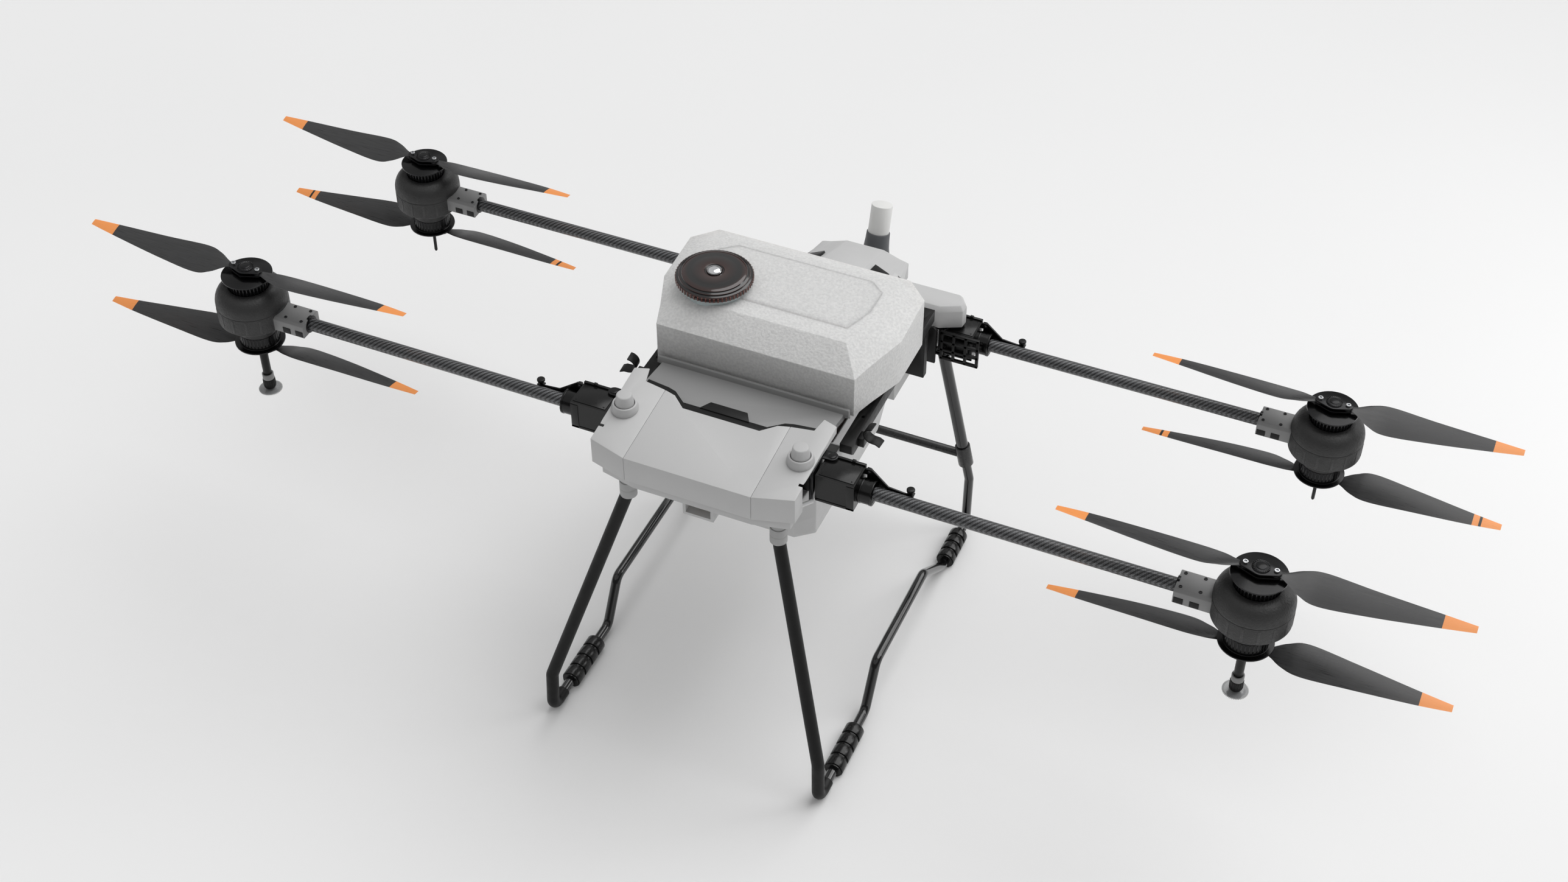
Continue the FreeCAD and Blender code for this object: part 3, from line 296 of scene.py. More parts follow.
# %% Blocks and pieces
def rounded(points, faces, width, segments=2, angle=30.0):
    """A bmesh of one block, its faces turned outwards and its sharp edges rounded."""
    made = bmesh.new()
    made_points = [made.verts.new(p) for p in points]
    for face in faces:
        made.faces.new([made_points[i] for i in face])
    bmesh.ops.remove_doubles(made, verts=made.verts, dist=1e-6)
    bmesh.ops.recalc_face_normals(made, faces=made.faces)
    width, segments = width if isinstance(width, tuple) else (width, segments)
    if width:
        sharp = [e for e in made.edges if len(e.link_faces) == 2
                 and e.calc_face_angle(0.0) > math.radians(angle)]
        bmesh.ops.bevel(made, geom=sharp, offset=width * MM, segments=segments, profile=0.5,
                        affect="EDGES", clamp_overlap=True)
    return made


def finish_mesh(made, crease=32.0):
    for face in made.faces:
        face.smooth = True
    for edge in made.edges:
        if len(edge.link_faces) == 2 and edge.calc_face_angle(0.0) > math.radians(crease):
            edge.smooth = False


def piece(name, blocks, body, replaces=()):
    mesh = bpy.data.meshes.new(name)
    whole, materials = bmesh.new(), []
    for points, faces, material, width in blocks:
        if material not in materials:
            materials.append(material)
        made = rounded(points, faces, width)
        part = bpy.data.meshes.new("part")
        made.to_mesh(part)
        made.free()
        for polygon in part.polygons:
            polygon.material_index = materials.index(material)
        whole.from_mesh(part)
        bpy.data.meshes.remove(part)
    finish_mesh(whole)
    whole.to_mesh(mesh)
    whole.free()
    for material in materials:
        mesh.materials.append(material)
    obj = bpy.data.objects.new(name, mesh)
    bpy.context.scene.collection.objects.link(obj)
    if replaces:
        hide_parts(*replaces)
    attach(obj, body)
    return obj


def moved(block, change):
    points, faces, material, width = block
    return [change(Vector(p)) for p in points], faces, material, width


# %% [markdown]
# ## Shapes
# Caps and hubs are round, brackets are plates, struts are rods and blades are skins. They could be
# drawn by hand, but functions of a few numbers are easier to correct. Lathe turns an outline about
# Z, slab raises a polygon, sweep carries a circle along points, and loft joins rings of equal
# count. Outlines are in millimetres.

# %% Lathe, slab, sweep and loft
def lathe(profile, material, centre=(0, 0, 0), width=0.0, steps=64):
    """A closed outline of (radius, height), turned about an upright axis."""
    points, faces, count = [], [], len(profile)
    for k in range(steps):
        a = 2 * math.pi * k / steps
        points += [(centre[0] + r * MM * math.cos(a), centre[1] + r * MM * math.sin(a), centre[2] + z * MM)
                   for r, z in profile]
    for k in range(steps):
        for i in range(count):
            j, near, far = (i + 1) % count, k * count, (k + 1) % steps * count
            if profile[i][0] == 0 and profile[j][0] == 0:
                continue
            if profile[i][0] == 0:
                faces.append((near + i, near + j, far + j))
            elif profile[j][0] == 0:
                faces.append((near + i, near + j, far + i))
            else:
                faces.append((near + i, near + j, far + j, far + i))
    merged = {}
    for n, (k, i) in enumerate((k, i) for k in range(steps) for i in range(count)):
        merged[n] = i if profile[i][0] == 0 else n
    return points, [tuple(merged[v] for v in f) for f in faces], material, width


def loft(rings, material, width=0.0):
    """Rings of points in metres, closed at both ends."""
    count = len(rings[0])
    points = [p for ring in rings for p in ring]
    faces = [tuple(range(count))[::-1], tuple(range(len(points) - count, len(points)))]
    for n in range(len(rings) - 1):
        for i in range(count):
            j = (i + 1) % count
            faces.append((n * count + i, n * count + j, (n + 1) * count + j, (n + 1) * count + i))
    return points, faces, material, width


def slab(outline, low, high, material, width=0.0, axis="Z"):
    """A polygon of (a, b) in millimetres, raised along an axis from low to high."""
    order = {"Z": lambda a, b, c: (a, b, c), "Y": lambda a, b, c: (a, c, b),
             "X": lambda a, b, c: (c, a, b)}[axis]
    rings = [[tuple(v * MM for v in order(a, b, c)) for a, b in outline] for c in (low, high)]
    return loft(rings, material, width)


def block(x0, x1, y0, y1, z0, z1, material, width=0.0):
    return slab([(x0, y0), (x1, y0), (x1, y1), (x0, y1)], z0, z1, material, width)


def sweep(points, radius, material, steps=20, width=0.0):
    """A round bar along points in millimetres."""
    path = [Vector(p) * MM for p in points]
    rings, normal = [], None
    for i, p in enumerate(path):
        ahead = (path[min(i + 1, len(path) - 1)] - path[max(i - 1, 0)]).normalized()
        normal = (normal or ahead.orthogonal()).copy()
        normal = (normal - ahead * normal.dot(ahead)).normalized()
        other = ahead.cross(normal)
        rings.append([p + (normal * math.cos(a) + other * math.sin(a)) * radius * MM
                      for a in (2 * math.pi * k / steps for k in range(steps))])
    return loft(rings, material, width)


# %% [markdown]
# ## Things that repeat
# Grip ribs, bell vents and grille bars are one shape many times over. A Python loop or an array
# modifier could copy them. Two small Geometry Nodes trees keep the rule in one place: one sets
# copies round a circle and one sets them in a row. The result is read back as a plain mesh, so no
# modifier stays.

# %% Geometry Nodes trees
def socket_id(tree, name):
    return next(s.identifier for s in tree.interface.items_tree if s.name == name and s.in_out == "INPUT")


def repeat_tree(name, circular):
    tree = bpy.data.node_groups.new(name, "GeometryNodeTree")
    tree.interface.new_socket("Geometry", in_out="OUTPUT", socket_type="NodeSocketGeometry")
    wanted = [("Shape", "NodeSocketGeometry"), ("Count", "NodeSocketInt"), ("Material", "NodeSocketMaterial"),
              ("Step", "NodeSocketVector")]
    for label, kind in wanted:
        tree.interface.new_socket(label, in_out="INPUT", socket_type=kind)
    given = add(tree, "NodeGroupInput").outputs
    rows = add(tree, "GeometryNodeMeshLine", {"Count": given["Count"], "Offset": (0, 0, 0)} if circular else
               {"Count": given["Count"], "Offset": given["Step"]})
    inputs = {"Points": rows.outputs[0], "Instance": given["Shape"]}
    if circular:
        share = maths(tree, "DIVIDE", 2 * math.pi, given["Count"])
        turn = maths(tree, "MULTIPLY", add(tree, "GeometryNodeInputIndex").outputs[0], share)
        inputs["Rotation"] = add(tree, "ShaderNodeCombineXYZ", {"Z": turn}).outputs[0]
    copies = add(tree, "GeometryNodeInstanceOnPoints", inputs)
    real = add(tree, "GeometryNodeRealizeInstances", {0: copies.outputs[0]})
    painted = add(tree, "GeometryNodeSetMaterial",
                  {"Geometry": real.outputs[0], "Material": given["Material"]})
    add(tree, "NodeGroupOutput", {0: painted.outputs[0]})
    return tree


ring_tree, row_tree = repeat_tree("ring_of_copies", True), repeat_tree("row_of_copies", False)


def repeated(shape, tree, count, step=(0, 0, 0)):
    """A block copied by a tree, as a block again."""
    points, faces, material, width = shape
    seed = bpy.data.meshes.new("seed")
    made = rounded(points, faces, width)
    made.to_mesh(seed)
    made.free()
    holder = bpy.data.objects.new("holder", seed)
    bpy.context.scene.collection.objects.link(holder)
    modifier = holder.modifiers.new("repeat", "NODES")
    modifier.node_group = tree
    for label, value in (("Count", count), ("Material", material), ("Step", step)):
        modifier[socket_id(tree, label)] = value
    holder.update_tag()
    seen = holder.evaluated_get(bpy.context.evaluated_depsgraph_get())
    grown = bpy.data.meshes.new_from_object(seen)
    result = [tuple(v.co) for v in grown.vertices], [tuple(p.vertices) for p in grown.polygons], material, 0.0
    bpy.data.objects.remove(holder)
    return result


print("trees:", [t.name for t in bpy.data.node_groups])

# %% [markdown]
# ## Rounding what comes out of a mould
# Moulded parts keep the solid model's shape, but never its knife edges. A bevel in the shader
# would leave the outline sharp, so the edges are really rounded. The node's mesh is copied, its
# flat faces are merged, its sharp edges rounded, and the copy stands for the node.

# %% Soften the moulded nodes
def body_named(node):
    return next(b for b, members in frame["record"]["behaviour"]["bodies"].items() if node in members)


def soften(node, material, width, segments=2, second=None, where=None):
    """A rounded copy of a node; faces whose middle passes `where` take the second material."""
    source = frame["nodes"][node]
    made = bmesh.new()
    made.from_mesh(source.data)
    made.transform(source.matrix_world)
    bmesh.ops.remove_doubles(made, verts=made.verts, dist=2e-6)
    bmesh.ops.dissolve_limit(made, angle_limit=math.radians(0.6), verts=made.verts, edges=made.edges)
    sharp = [e for e in made.edges if len(e.link_faces) == 2 and e.calc_face_angle(0.0) > math.radians(28)]
    bmesh.ops.bevel(made, geom=sharp, offset=width * MM, segments=segments, profile=0.5, affect="EDGES",
                    clamp_overlap=True)
    bmesh.ops.recalc_face_normals(made, faces=made.faces)
    finish_mesh(made)
    mesh = bpy.data.meshes.new("rounded_" + node)
    made.to_mesh(mesh)
    made.free()
    mesh.materials.append(material)
    if second:
        mesh.materials.append(second)
        for polygon in mesh.polygons:
            polygon.material_index = int(where(polygon.center))
    obj = bpy.data.objects.new("rounded_" + node, mesh)
    bpy.context.scene.collection.objects.link(obj)
    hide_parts(node)
    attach(obj, body_named(node))
    return obj


corners = [(end, side) for end in ("front", "rear") for side in ("left", "right")]
for end, side in corners:
    soften("%s_%s_arm_root" % (end, side), gloss_black, 0.3, 1)
for node, material, width in (
        ("nose_cover", cover_grey, 2.2), ("nose_cover_wings", cover_grey, 2.2),
        ("rear_fairing", rear_grey, 3.0), ("rear_hump", rear_grey, 4.0),
        ("belly_tub", cover_grey, 4.0), ("camera_frame", cover_grey, 1.5),
        ("nose_pan", cover_grey, 1.5), ("side_rails", structure_black, 2.0),
        ("fold_hinges", black_anodised, 0.8), ("battery_pack", battery_dark, 4.0),
        ("gnss_pucks", cover_grey, 1.0), ("arm_clips", structure_black, 0.6),
        ("cross_beams", structure_black, 1.5)):
    soften(node, material, width)
soften("leg_fittings", fitting_grey, 0.8, 2, collar_grey, lambda p: p.y > 0)
soften("tank_deck", deck_grey, 1.5)

# %% Materials for the nodes that stay as they are
def paint(node, material):
    data = frame["nodes"][node].data
    data.materials.clear()
    data.materials.append(material)


for end, side in corners:
    paint("%s_%s_arm_tube" % (end, side), weave[end])
for node, material in (("front_legs", leg_matte), ("skid_runners", skid_gloss), ("rear_legs", skid_gloss),
                       ("skid_sleeves", rubber), ("flight_controller", battery_dark),
                       ("spray_pumps", structure_black), ("fpv_camera", brass)):
    paint(node, material)
print("plain nodes: painted")

# %% [markdown]
# ## Placing things on an arm
# The four arms are alike. Their parts could be modelled four times or mirrored by modifiers. Here
# they are written once, for the front left corner, and a function moves the points, so every copy
# is plain mesh on its own body. Along-arm distances are from the middle plane, the rest from the
# tube's axis. Pod parts are written from the rotor axis at hub height.

# %% Places
hub = {}
for end, side in corners:
    low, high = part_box("%s_%s_upper_rotor" % (end, side))
    hub[end, side] = Vector(((low[0] + high[0]) / 2, (low[1] + high[1]) / 2, high[2]))
sign = {"left": 1, "right": -1}
tube_at = {"front": Vector((0, front_y, front_z)), "rear": Vector((0, rear_y, rear_z))}


def on_arm(shape, end, side):
    return moved(shape, lambda p: Vector((p.x * sign[side], p.y + tube_at[end].y, p.z + tube_at[end].z)))


def on_pod(shape, end, side, turned_over=False):
    at = hub[end, side]
    return moved(shape, lambda p: Vector((p.x * sign[side] + at.x, p.y + at.y,
                                          at.z + (-hub_spacing * MM - p.z if turned_over else p.z))))


print({key: [round(v, 4) for v in at] for key, at in hub.items()})

# %% [markdown]
# ## Rotor hubs
# A hub is the turning bell of an outrunner motor, with narrow vents round its skirt and a flat
# flange. Two lobed plates clamp the blades between two socket-head bolts, under a small cap with
# radial ribs; only the upper hub has a crown in it. Machined parts like these suit a turned
# outline and flat plates, and the ribs and vents are copies round the axis.

# %% Hub shapes
def lobed(centre_r, lobe_r, reach, steps=72):
    """The outline round three circles in a row."""
    outline = []
    for k in range(steps):
        dx, dy = math.cos(2 * math.pi * k / steps), math.sin(2 * math.pi * k / steps)
        x, r = max(((0, centre_r), (reach, lobe_r), (-reach, lobe_r)), key=lambda c: dx * c[0] + c[1])
        outline.append((x + r * dx, r * dy))
    return outline


def screw(x, y, z, r, h, material=steel):
    """A socket-head screw that stands up from z."""
    head = [(0, z), (r, z), (r, z + h - 0.5), (r - 0.5, z + h), (r * 0.55, z + h), (r * 0.5, z + h * 0.5),
            (0, z + h * 0.5)]
    return lathe(head, material, (x * MM, y * MM, 0), 0.0, 20)


bell = lathe([(9.6, -58), (13, -58), (13, -26), (37, -26), (37, -50), (39.5, -50), (39.5, -24), (40.5, -23),
              (49.5, -23), (49.5, -20), (17, -20), (15, -18.5), (15, -15.6), (9.6, -15.6)], black_anodised,
             width=0.4, steps=96)
dome = lathe([(9.7, -5), (16, -5), (15.4, -3.4), (13.6, -2.2), (10.2, -1.4), (9.7, -1.4)], black_anodised,
             width=0.2)
crown = lathe([(0, -5), (9.6, -5), (9.6, -0.9), (7.5, -0.2), (0, 0)], black_anodised, width=0.3)
rib = block(10.0, 15.2, -0.45, 0.45, -4.0, -1.3, black_anodised, 0.15)
vent = block(39.2, 40.2, -1.1, 1.1, -48.5, -27, black_anodised, 0.2)
hub_shapes = [bell, dome, slab(lobed(19, 9.5, 26.8), -8, -5, black_anodised, 0.5),
              slab(lobed(19, 9.5, 26.8), -16, -13, black_anodised, 0.5),
              repeated(rib, ring_tree, 24), repeated(vent, ring_tree, 36)]
for x in (-26.8, 26.8):
    hub_shapes += [screw(x, 0, -5, 4.8, 3.8), lathe([(0, -17.5), (2.5, -17.5), (2.5, -5), (0, -5)], steel,
                                                     (x * MM, 0, 0), steps=20)]
for end, side in corners:
    for row in ("upper", "lower"):
        node = "%s_%s_%s_rotor" % (end, side, row)
        shapes = hub_shapes + ([crown] if row == "upper" else [])
        placed = [on_pod(s, end, side, row == "lower") for s in shapes]
        piece("detailed_" + node, placed, body_named(node), (node,))
print("rotor hubs:", 8)

# %% [markdown]
# ## Blades
# A blade is a thin twisted wing, widest near the hub and flatter at the tip. A plate with a twist
# modifier would keep a slab's section. Each station gives the leading and trailing edge, the
# pitch, the height and the thickness, and a smooth curve through the stations, with a real
# aerofoil section, makes the twisted blade.

# %% Aerofoil blades
stations = [(30, 5.5, 5.5, 0, 10.5, 4.4), (38, 7.5, 7.5, 0, 10.5, 4.4), (48, 12, 12.5, 9, 11.7, 4.6),
            (70, 23, 25, 17, 13.5, 5.0), (105, 31, 33, 19, 15.5, 5.0), (190, 24, 26.5, 16, 13, 3.8),
            (290, 15, 15, 13, 8, 2.6), (356.6, 9, 5, 11, 5.5, 1.8)]


def smooth_between(rows, steps):
    """Catmull-Rom rows through the given rows."""
    found = []
    for i in range(len(rows) - 1):
        a, b = rows[max(i - 1, 0)], rows[min(i + 2, len(rows) - 1)]
        p, q = rows[i], rows[i + 1]
        for k in range(steps):
            t = k / steps
            found.append([p[n] + t * 0.5 * (q[n] - a[n]) + t * t * (a[n] - 2.5 * p[n] + 2 * q[n] - 0.5 * b[n])
                          + t ** 3 * (1.5 * (p[n] - q[n]) + 0.5 * (b[n] - a[n])) for n in range(len(p))])
    return found + [list(rows[-1])]


def aerofoil(samples=14):
    """Half-thickness against chord, from the leading edge over the top and back underneath."""
    shape = [(k / samples) ** 1.6 for k in range(samples + 1)]
    thick = [1.48 * math.sqrt(c) - 0.63 * c - 1.76 * c ** 2 + 1.42 * c ** 3 - 0.51 * c ** 4 for c in shape]
    top = [(c, 0.5 * max(t, 0.06) + 0.16 * math.sin(math.pi * c)) for c, t in zip(shape, thick)]
    under = [(c, -0.5 * max(t, 0.06) + 0.16 * math.sin(math.pi * c)) for c, t in zip(shape, thick)]
    return top + under[:0:-1]


def blade_block(material, lower, turn):
    rings = []
    for r, lead, trail, pitch, down, thick in smooth_between(stations, 7):
        chord, level = lead + trail, -hub_spacing + down if lower else -down
        flat, steep = math.cos(math.radians(pitch)), math.sin(math.radians(pitch))
        ring = []
        for c, t in aerofoil():
            y, h = lead - c * chord, t * thick
            y, z = y * flat - h * steep, y * steep + h * flat + level
            ring.append((r * turn * MM, y * turn * MM, z * MM))
        rings.append(ring)
    tip = [tuple(Vector(p) * 0.35 + sum((Vector(q) for q in rings[-1]), Vector()) / len(rings[-1]) * 0.65)
           for p in rings[-1]]
    return loft(rings + [tip], material)


for end, side in corners:
    for row in ("upper", "lower"):
        node = "%s_%s_%s_blades" % (end, side, row)
        material = striped_blade if (end, row) == ("rear", "lower") else plain_blade
        level = -10.5 if row == "upper" else 10.5 - hub_spacing
        shapes = []
        for turn in (1, -1):
            shapes.append(blade_block(material, row == "lower", turn))
            shapes.append(lathe([(2.6, level - 2.3), (8, level - 2.3), (8, level + 2.3), (2.6, level + 2.3)],
                                material, (26.8 * turn * MM, 0, 0), 0.3, 40))
        piece("shaped_" + node, [on_pod(s, end, side) for s in shapes], body_named(node), (node,))
print("blade pairs:", 8)

# %% [markdown]
# ## Motor pods
# A pod holds two motors at the end of an arm: a thick moulded body with a rounded shoulder, a
# clamp block with slots for the arm tube, windings inside the gap, and under it the feed rod, ring
# and cup of a spray head, or a thin rod at the rear. They could be cut from one lump with
# booleans, but turned and bevelled blocks keep every face clean.

# %% Pods
shoulder = [(43 + 27.5 * math.sin(math.radians(a)), -80 + 34 * math.cos(math.radians(a)))
            for a in range(0, 91, 10)]
housing = lathe([(0, -60), (40.5, -60), (40.5, -46.6), (41, -46)] + shoulder + [
    (70.5, -83), (69.7, -83.4), (69.7, -84.6), (70.5, -85), (70.5, -121), (67.5, -124), (39.5, -124),
    (39.5, -156), (36.5, -156), (36.5, -147), (0, -147)], pod_grey, width=0.5, steps=96)
coil = block(21, 35, -2.3, 2.3, -56, -31, stator_copper, 1.0)
seam_rib = block(69.9, 70.9, -2.5, 2.5, -118, -88, pod_grey, 0.3)
foot_screw = screw(55, 0, 124, 3.0, 1.2)
pod_shapes = [housing, repeated(coil, ring_tree, 24), repeated(seam_rib, ring_tree, 16),
              moved(repeated(foot_screw, ring_tree, 6), lambda p: Vector((p.x, p.y, -p.z)))]


def clamp_shapes(drop):
    w, h = 28, 16
    outline = [(-w, -drop - h), (w, -drop - h), (w, -drop + h - 5), (w - 5, -drop + h), (5 - w, -drop + h),
               (-w, -drop + h - 5)]
    shapes = [slab(outline, -132, -62, clamp_grey, 1.2, "X")]
    shapes.append(sweep([(-133.2, 0, -drop), (-128, 0, -drop)], 17.5, black_anodised, 40, 0.4))
    fin = block(-130, -113, -w - 0.9, w + 0.9, -drop - 14, -drop - 1, structure_black, 0.5)
    shapes.append(repeated(fin, row_tree, 2, (0.028, 0, 0)))
    for x in (-123, -88):
        for y in (-17, 17):
            shapes.append(screw(x, y, -drop + h, 3.2, 1.6, black_anodised))
    return shapes


spray_shapes = [
    lathe([(0, -288), (8.5, -288), (8.5, -150), (0, -150)], structure_black, width=0.3, steps=40),
    lathe([(8.6, -214), (12.5, -214), (12.5, -209), (8.6, -209)], black_anodised, width=0.6, steps=48),
    lathe([(8.6, -288), (11.5, -288), (11.5, -275), (8.6, -275)], clamp_grey, width=0.8, steps=48),
    lathe([(0, -311), (10.5, -311), (12, -308), (12, -288), (0, -288)], structure_black, width=0.6, steps=48),
    repeated(block(11.7, 12.6, -0.6, 0.6, -306, -290, structure_black, 0.2), ring_tree, 18)]
thin_shapes = [lathe([(0, -262.5), (2.2, -262.5), (3.5, -259), (3.5, -150), (0, -150)], structure_black,
                     width=0.2, steps=24),
               lathe([(3.6, -214), (6, -214), (6, -208), (3.6, -208)], black_anodised, width=0.4, steps=24)]
for end, side in corners:
    node = "%s_%s_motor_pod" % (end, side)
    shapes = pod_shapes + clamp_shapes(104 if end == "front" else 97)
    shapes += spray_shapes if end == "front" else thin_shapes
    piece("detailed_" + node, [on_pod(s, end, side) for s in shapes], body_named(node), (node,))
tooth = block(20.5, 23.6, -0.5, 0.5, -316.6, -314.2, disc_plastic, 0.15)
disc_shapes = [lathe([(0, -317.1), (17.5, -317.1), (22.6, -315.4), (22.6, -314.4), (16.5, -315.4),
                      (6, -315.4), (6, -311.6), (2, -311.6), (2, -301), (0, -301)], disc_plastic,
                     width=0.2, steps=64),
               repeated(tooth, ring_tree, 48)]
for side in ("left", "right"):
    node = "front_%s_spray_disc" % side
    piece("toothed_" + node, [on_pod(s, "front", side) for s in disc_shapes], body_named(node), (node,))
print("pods:", 4, "spray discs:", 2)

# %% [markdown]
# ## Arm roots and levers
# The arm root is the folding joint, and a lever locks it. It has a lid with small screws, a guide
# bar along the back edge with a latch on it, two ledges on the front face and rings on the collar,
# and each lever has a knurled knob. A bump map could draw these, but they stand out in outline
# from the side, so they are meshes.

# %% Arm root trim
root_trim = [block(213, 280, -26.5, 23.5, 32.9, 34.2, gloss_black, 0.5),
             block(212, 283, 25, 30.5, 32.5, 36.5, gloss_black, 0.7),
             block(256, 263, 25.5, 31, 36, 38.5, structure_black, 0.7),
             block(268, 283, -31.6, -30.2, -28, 28, gloss_black, 0.4),
             block(209, 283, -31.6, -30.2, -28, -23, gloss_black, 0.4),
             sweep([(286, 0, 0), (290, 0, 0)], 23.9, gloss_black, 64, 0.4),
             sweep([(307, 0, 0), (311, 0, 0)], 23.9, gloss_black, 64, 0.4)]
root_trim += [screw(x, y, 34.0, 1.6, 0.8, gloss_black) for x in (218, 275) for y in (-22, 19)]


def cross_ring(x, y0, y1, z0, z1):
    return [(x * MM, y * MM, z * MM) for y, z in ((y0, z0), (y1, z0), (y1, z1), (y0, z1))]


web = loft([cross_ring(286, 23.6, 27.6, -2, 33), cross_ring(293, 23.6, 27.6, -2, 33),
            cross_ring(331, 14.2, 17.2, -4, 11), cross_ring(379, 14.2, 17.2, 0, 6)], gloss_black, 0.5)
tab = block(365, 379, 14.5, 25, 3, 6, gloss_black, 0.6)
pivot = sweep([(291, 20.6, 27), (291, 28.4, 27)], 3.0, steel, 24, 0.2)
knob_at = Vector((0.372, 0.0195, 0))
knob = lathe([(0, 5), (4, 5), (4, 12), (6.5, 12), (7.4, 13), (7.4, 17), (6.2, 18), (0, 18)], gloss_black,
             knob_at, 0.3, 40)
grip = moved(repeated(block(6.9, 7.7, -0.4, 0.4, 13, 17, gloss_black, 0.1), ring_tree, 20),
             lambda p: p + knob_at)
for end, side in corners:
    start = "%s_%s_" % (end, side)
    piece(start + "arm_root_trim", [on_arm(s, end, side) for s in root_trim], body_named(start + "arm_root"))
    piece(start + "web_lever", [on_arm(s, end, side) for s in (web, tab, pivot, knob, grip)],
          body_named(start + "lock_lever"), (start + "lock_lever",))
print("arm roots with trim:", len(corners))

# %% [markdown]
# ## Tank, cap and button
# The tank is filled through a stepped cap with a vent button. A subdivided box would be soft but
# lose the true size, so the skin is lofted through the tank's own outlines and its edges are
# rounded wide, as blow moulding leaves them. The cap is turned, with grip ribs, and a chrome dome
# sits in its middle.

# %% Tank
cap_at = (-0.132, -0.037, 0)


def half_ring(half, z, rise=0.0, from_y=0.0):
    full = half + [(-x, y) for x, y in reversed(half)]
    return [(x * MM, y * MM, (z + rise * (y - from_y)) * MM) for x, y in full]


foot = [(201, -151), (217, -100), (244, -27), (244, 91), (200, 132)]
crown_line = [(162, -98), (174, -66), (196, -10), (198, 72), (160, 104)]
step_line = [(150, -62), (158, -40), (172, 2), (172, 64), (140, 90)]
step_top = [(138, -50), (144, -32), (156, 4), (156, 58), (128, 78)]
slope = 24 / 283
tank_shapes = [loft([half_ring(foot, 682), half_ring(foot, 771, slope, -151), half_ring(crown_line, 806)],
                    tank_white, (17.0, 5)),
               loft([half_ring(step_line, 790), half_ring(step_line, 805.5), half_ring(step_top, 808)],
                    tank_white, (2.0, 3)),
               block(-150, 150, -120, 90, 452, 690, tank_white, 12.0),
               lathe([(12, 440), (16, 440), (16, 455), (12, 455)], tank_white, width=0.6, steps=48),
               lathe([(62.5, 790), (66, 790), (66, 812), (68.5, 812), (68.5, 815), (66, 815), (66, 826),
                      (62.5, 826)], neck_white, cap_at, 0.7, 96)]
piece("blow_moulded_tank", tank_shapes, "tank_unit", ("tank",))
print("tank blocks:", len(tank_shapes))

# %% Cap and button
cap_shapes = [lathe([(66.6, 817), (72, 817), (74, 820), (74, 828), (72.5, 829.5), (69, 830), (68, 833),
                     (63, 833.6), (62, 836), (54, 838), (46, 837), (42, 838), (19, 838), (18, 836),
                     (15.3, 836), (15.3, 832), (5.3, 832), (5.3, 828), (66.6, 828)], cap_black, cap_at,
                    0.6, 128)]
grip_rib = block(73.5, 75.0, -1.4, 1.4, 819, 828, cap_black, 0.4)
cap_shapes.append(moved(repeated(grip_rib, ring_tree, 60), lambda p: p + Vector(cap_at)))
piece("stepped_tank_cap", cap_shapes, "filler_cap", ("tank_cap",))
button = [(0, 825), (5, 825), (5, 836), (14.3, 836), (14.3, 838.2), (13, 840.2), (9.5, 842.2), (5, 843),
          (0, 843.2)]
piece("domed_vent_button", [lathe(button, chrome, cap_at, 0.4, 64)], "vent_button", ("cap_button",))
print("cap shapes:", len(cap_shapes))

# %% [markdown]
# ## Antenna, brackets, grilles and struts
# The mast is white and its base dark, and white rods brace the rear. Each grille plate is a net of
# bars that rides on its rear arm. It could be a plate with holes cut by a boolean, but rows of
# copied bars give clean faces and are easy to space.

# %% Antenna
lean = math.radians(16.4)
mast_top = Vector((0, 0.520 - 0.0225 * math.cos(lean), 0.665))
tilt = Matrix.Rotation(-lean, 4, "X")
upright_shapes = [lathe([(0, -64), (22.5, -64), (22.5, 0), (0, 0)], antenna_white, width=1.2, steps=64),
                  lathe([(0, -130), (38, -130), (35, -122), (30, -112), (27, -96), (25.4, -78), (24.6, -62),
                         (23.2, -61), (22.8, -64), (0, -66)], antenna_grey, width=0.4, steps=64)]
antenna_shapes = [moved(s, lambda p: (tilt @ p) + mast_top) for s in upright_shapes]
antenna_shapes.append(block(-18, 18, 409, 452, 548, 572, antenna_grey, 2.0))
piece("antenna_mast_and_base", antenna_shapes, "airframe", ("antenna",))
print("antenna shapes:", len(antenna_shapes))

# %% Brackets, grilles and struts
bracket = slab([(192, 487), (213, 487), (213, 574), (206, 580), (192, 574)], 264, 270, structure_black, 1.0,
               "Y")
upright_bar = block(219, 225, 274, 280, 495, 566, structure_black, 0.5)
level_bar = block(219, 301, 274, 280, 495, 501, structure_black, 0.5)
lug = block(232, 276, 280, 290, 520, 541, structure_black, 0.5)
grille = [repeated(upright_bar, row_tree, 4, (0.0253, 0, 0)),
          repeated(level_bar, row_tree, 4, (0, 0, 0.0217)), lug]


def mirrored(shape, side):
    return moved(shape, lambda p: Vector((p.x * sign[side], p.y, p.z)))


piece("rear_brackets", [mirrored(bracket, side) for side in sign], "airframe")
for side in sign:
    piece("rear_%s_grille_plate" % side, [mirrored(g, side) for g in grille],
          body_named("rear_%s_arm_root" % side))

strut = sweep([(180, -386, 646), (206, -354, 648)], 4.0, white_strut, 20, 0.8)
piece("white_tie_struts", [mirrored(strut, side) for side in sign], "airframe")
print("shapes in a grille plate:", len(grille))
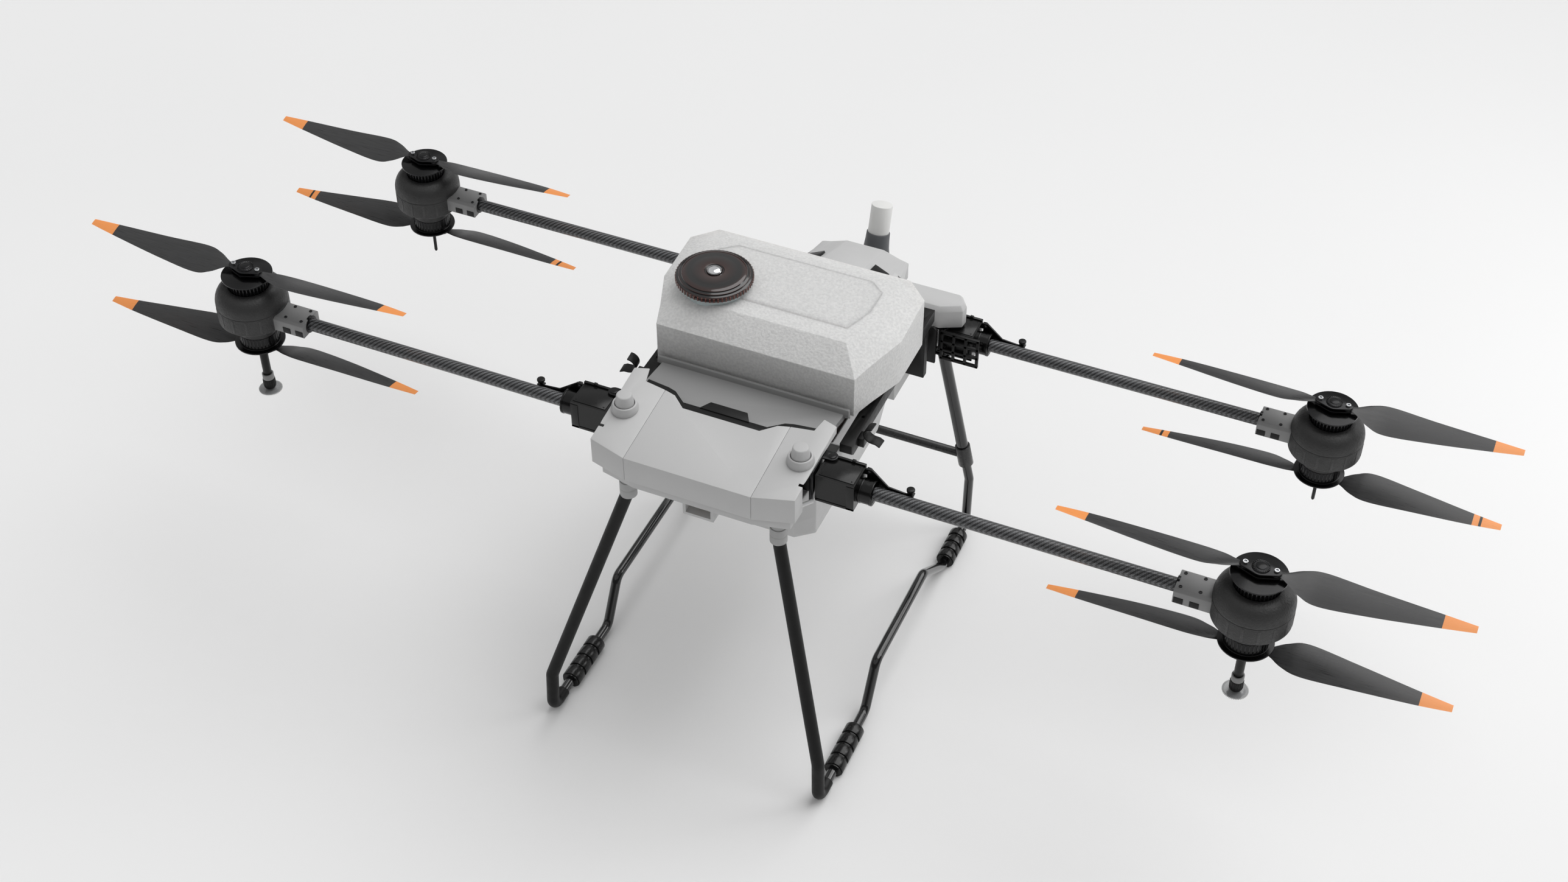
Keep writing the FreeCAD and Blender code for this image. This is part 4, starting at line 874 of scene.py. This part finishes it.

# %% [markdown]
# ## Painted shade strip in the nose slot, and hump vents
# A black strip fills the slot along the back edge of the nose cover; its black is painted shade,
# standing in for the shade inside that slot. A dark vent lies on each slope of the hump. Dark paint
# could show them, but a raised strip gives the shadow line between two parts, so they are thin
# shapes laid on the covers.

# %% Painted shade strip and vents
edge = [(-171, -262), (-126, -269), (-104, -274.5), (-77.5, -297.5), (77.5, -297.5), (104, -274.5),
        (126, -269), (171, -262)]
behind = [(171, -248), (126, -254), (110, -259), (84, -281), (-84, -281), (-110, -259), (-126, -254),
          (-171, -248)]
# painted shade: a black strip set in the slot between the nose cover and the deck, standing in for the shade
# in that slot
slot_shade_strip = [slab(edge + behind, 700, 722, structure_black, 0.8),
            slab([(-50, -284), (50, -284), (37, -262), (-37, -262)], 700, 724, structure_black, 1.2)]
piece("nose_slot_painted_shade_strip", slot_shade_strip, "airframe")


def across(y, drop):
    return [(x * MM, y * MM, (z - drop) * MM) for x, z in ((54, 651), (85, 636), (87, 640), (56, 655.5))]


hump_vent = loft([across(292, -4.4), across(322, 3.4)], structure_black, 0.6)
piece("hump_vents", [mirrored(hump_vent, side) for side in sign], "airframe")
print("lip points:", len(edge) + len(behind))

# %% [markdown]
# ## Skid sleeves
# Rubber sleeves save the skids from wear. Each one is a row of open rings round the skid, flat
# where it meets the ground. A bump would leave the outline smooth, so every ring is a real one.

# %% Sleeve rings
def open_ring(outer, inner, y0, y1):
    angles = [math.radians(a) for a in range(-62, 243, 16)]
    arc = [(outer * math.cos(a), outer * math.sin(a)) for a in angles]
    arc += [(inner * math.cos(a), inner * math.sin(a)) for a in reversed(angles)]
    return slab([(289 + x, 15 + z) for x, z in arc], y0, y1, rubber, 1.0, "Y")


sleeve_ribs = [repeated(open_ring(19.6, 16.6, y + 3, y + pitch - 3), row_tree, 4, (0, pitch * MM, 0))
               for y, pitch in ((-435.0, 29.5), (186.0, 23.0))]
sleeve_ribs += [mirrored(s, "right") for s in sleeve_ribs]
sleeve_ribs = [moved(s, lambda p: Vector((p.x, p.y, max(p.z, 0.0)))) for s in sleeve_ribs]
piece("skid_sleeve_ribs", sleeve_ribs, "airframe")

# %% [markdown]
# ## Floor, light and camera
# The drone stands on a pale plain floor in soft even light. Area lights would fall off across its
# width, so two broad suns come from above and behind, with a small rim light and a sky that only
# glows near the horizon. A long lens from the front left and above keeps the proportions true.

# %% Stage
def pale_floor():
    material, tree, shader, place = start_material("plain_pale_floor")
    tint = blended(tree, noise(tree, place, 900.0), colour("#EDEDED"), colour("#F0F0F0"))
    tree.links.new(tint, shader.inputs["Base Color"])
    shader.inputs["Roughness"].default_value = 0.9
    return material


floor_mesh = bpy.data.meshes.new("floor")
floor_mesh.from_pydata([(-30, -30, 0), (30, -30, 0), (30, 30, 0), (-30, 30, 0)], [], [(0, 1, 2, 3)])
floor_mesh.materials.append(pale_floor())
floor = bpy.data.objects.new("floor", floor_mesh)
bpy.context.scene.collection.objects.link(floor)

world = bpy.data.worlds.new("soft_studio")
world.use_nodes = True
sky, backdrop = world.node_tree, world.node_tree.nodes["Background"]
height = add(sky, "ShaderNodeSeparateXYZ", {0: add(sky, "ShaderNodeTexCoord").outputs[0]}).outputs[2]
backdrop.inputs[0].default_value = colour("#F4F4F4")
sky.links.new(spread(sky, height, -0.02, 0.14, 0.8, 0.16), backdrop.inputs[1])
bpy.context.scene.world = world
bpy.context.scene.view_settings.view_transform = "Standard"


def soft_sun(name, towards, strength, spread):
    light = bpy.data.lights.new(name, "SUN")
    light.energy, light.angle = strength, math.radians(spread)
    obj = bpy.data.objects.new(name, light)
    obj.rotation_euler = Vector(towards).to_track_quat("-Z", "Y").to_euler()
    bpy.context.scene.collection.objects.link(obj)


def softbox(name, at, to, width, power):
    light = bpy.data.lights.new(name, "AREA")
    light.shape, light.size, light.energy = "DISK", width, power
    obj = bpy.data.objects.new(name, light)
    obj.location = at
    obj.rotation_euler = (Vector(to) - Vector(at)).to_track_quat("-Z", "Y").to_euler()
    bpy.context.scene.collection.objects.link(obj)


soft_sun("key", (-0.35, -0.45, -1.0), 1.75, 60)
soft_sun("overhead", (0.1, -0.1, -1.0), 1.0, 120)
softbox("rim", (2.6, 1.6, 1.6), (0.4, 0, 0.6), 1.2, 12)
print("stage: floor, sky and three lights")

# %% Camera
camera_at = (1.290, -2.962, 3.413)
camera_looks = (-0.2938, 0.6718, -0.6799)
view = bpy.data.cameras.new("camera")
view.lens, view.sensor_width = 50.48, 36.0
camera = bpy.data.objects.new("camera", view)
camera.location = camera_at
camera.rotation_euler = Vector(camera_looks).to_track_quat("-Z", "Y").to_euler()
bpy.context.scene.collection.objects.link(camera)
bpy.context.scene.camera = camera
print("camera:", camera_at, "lens:", view.lens)
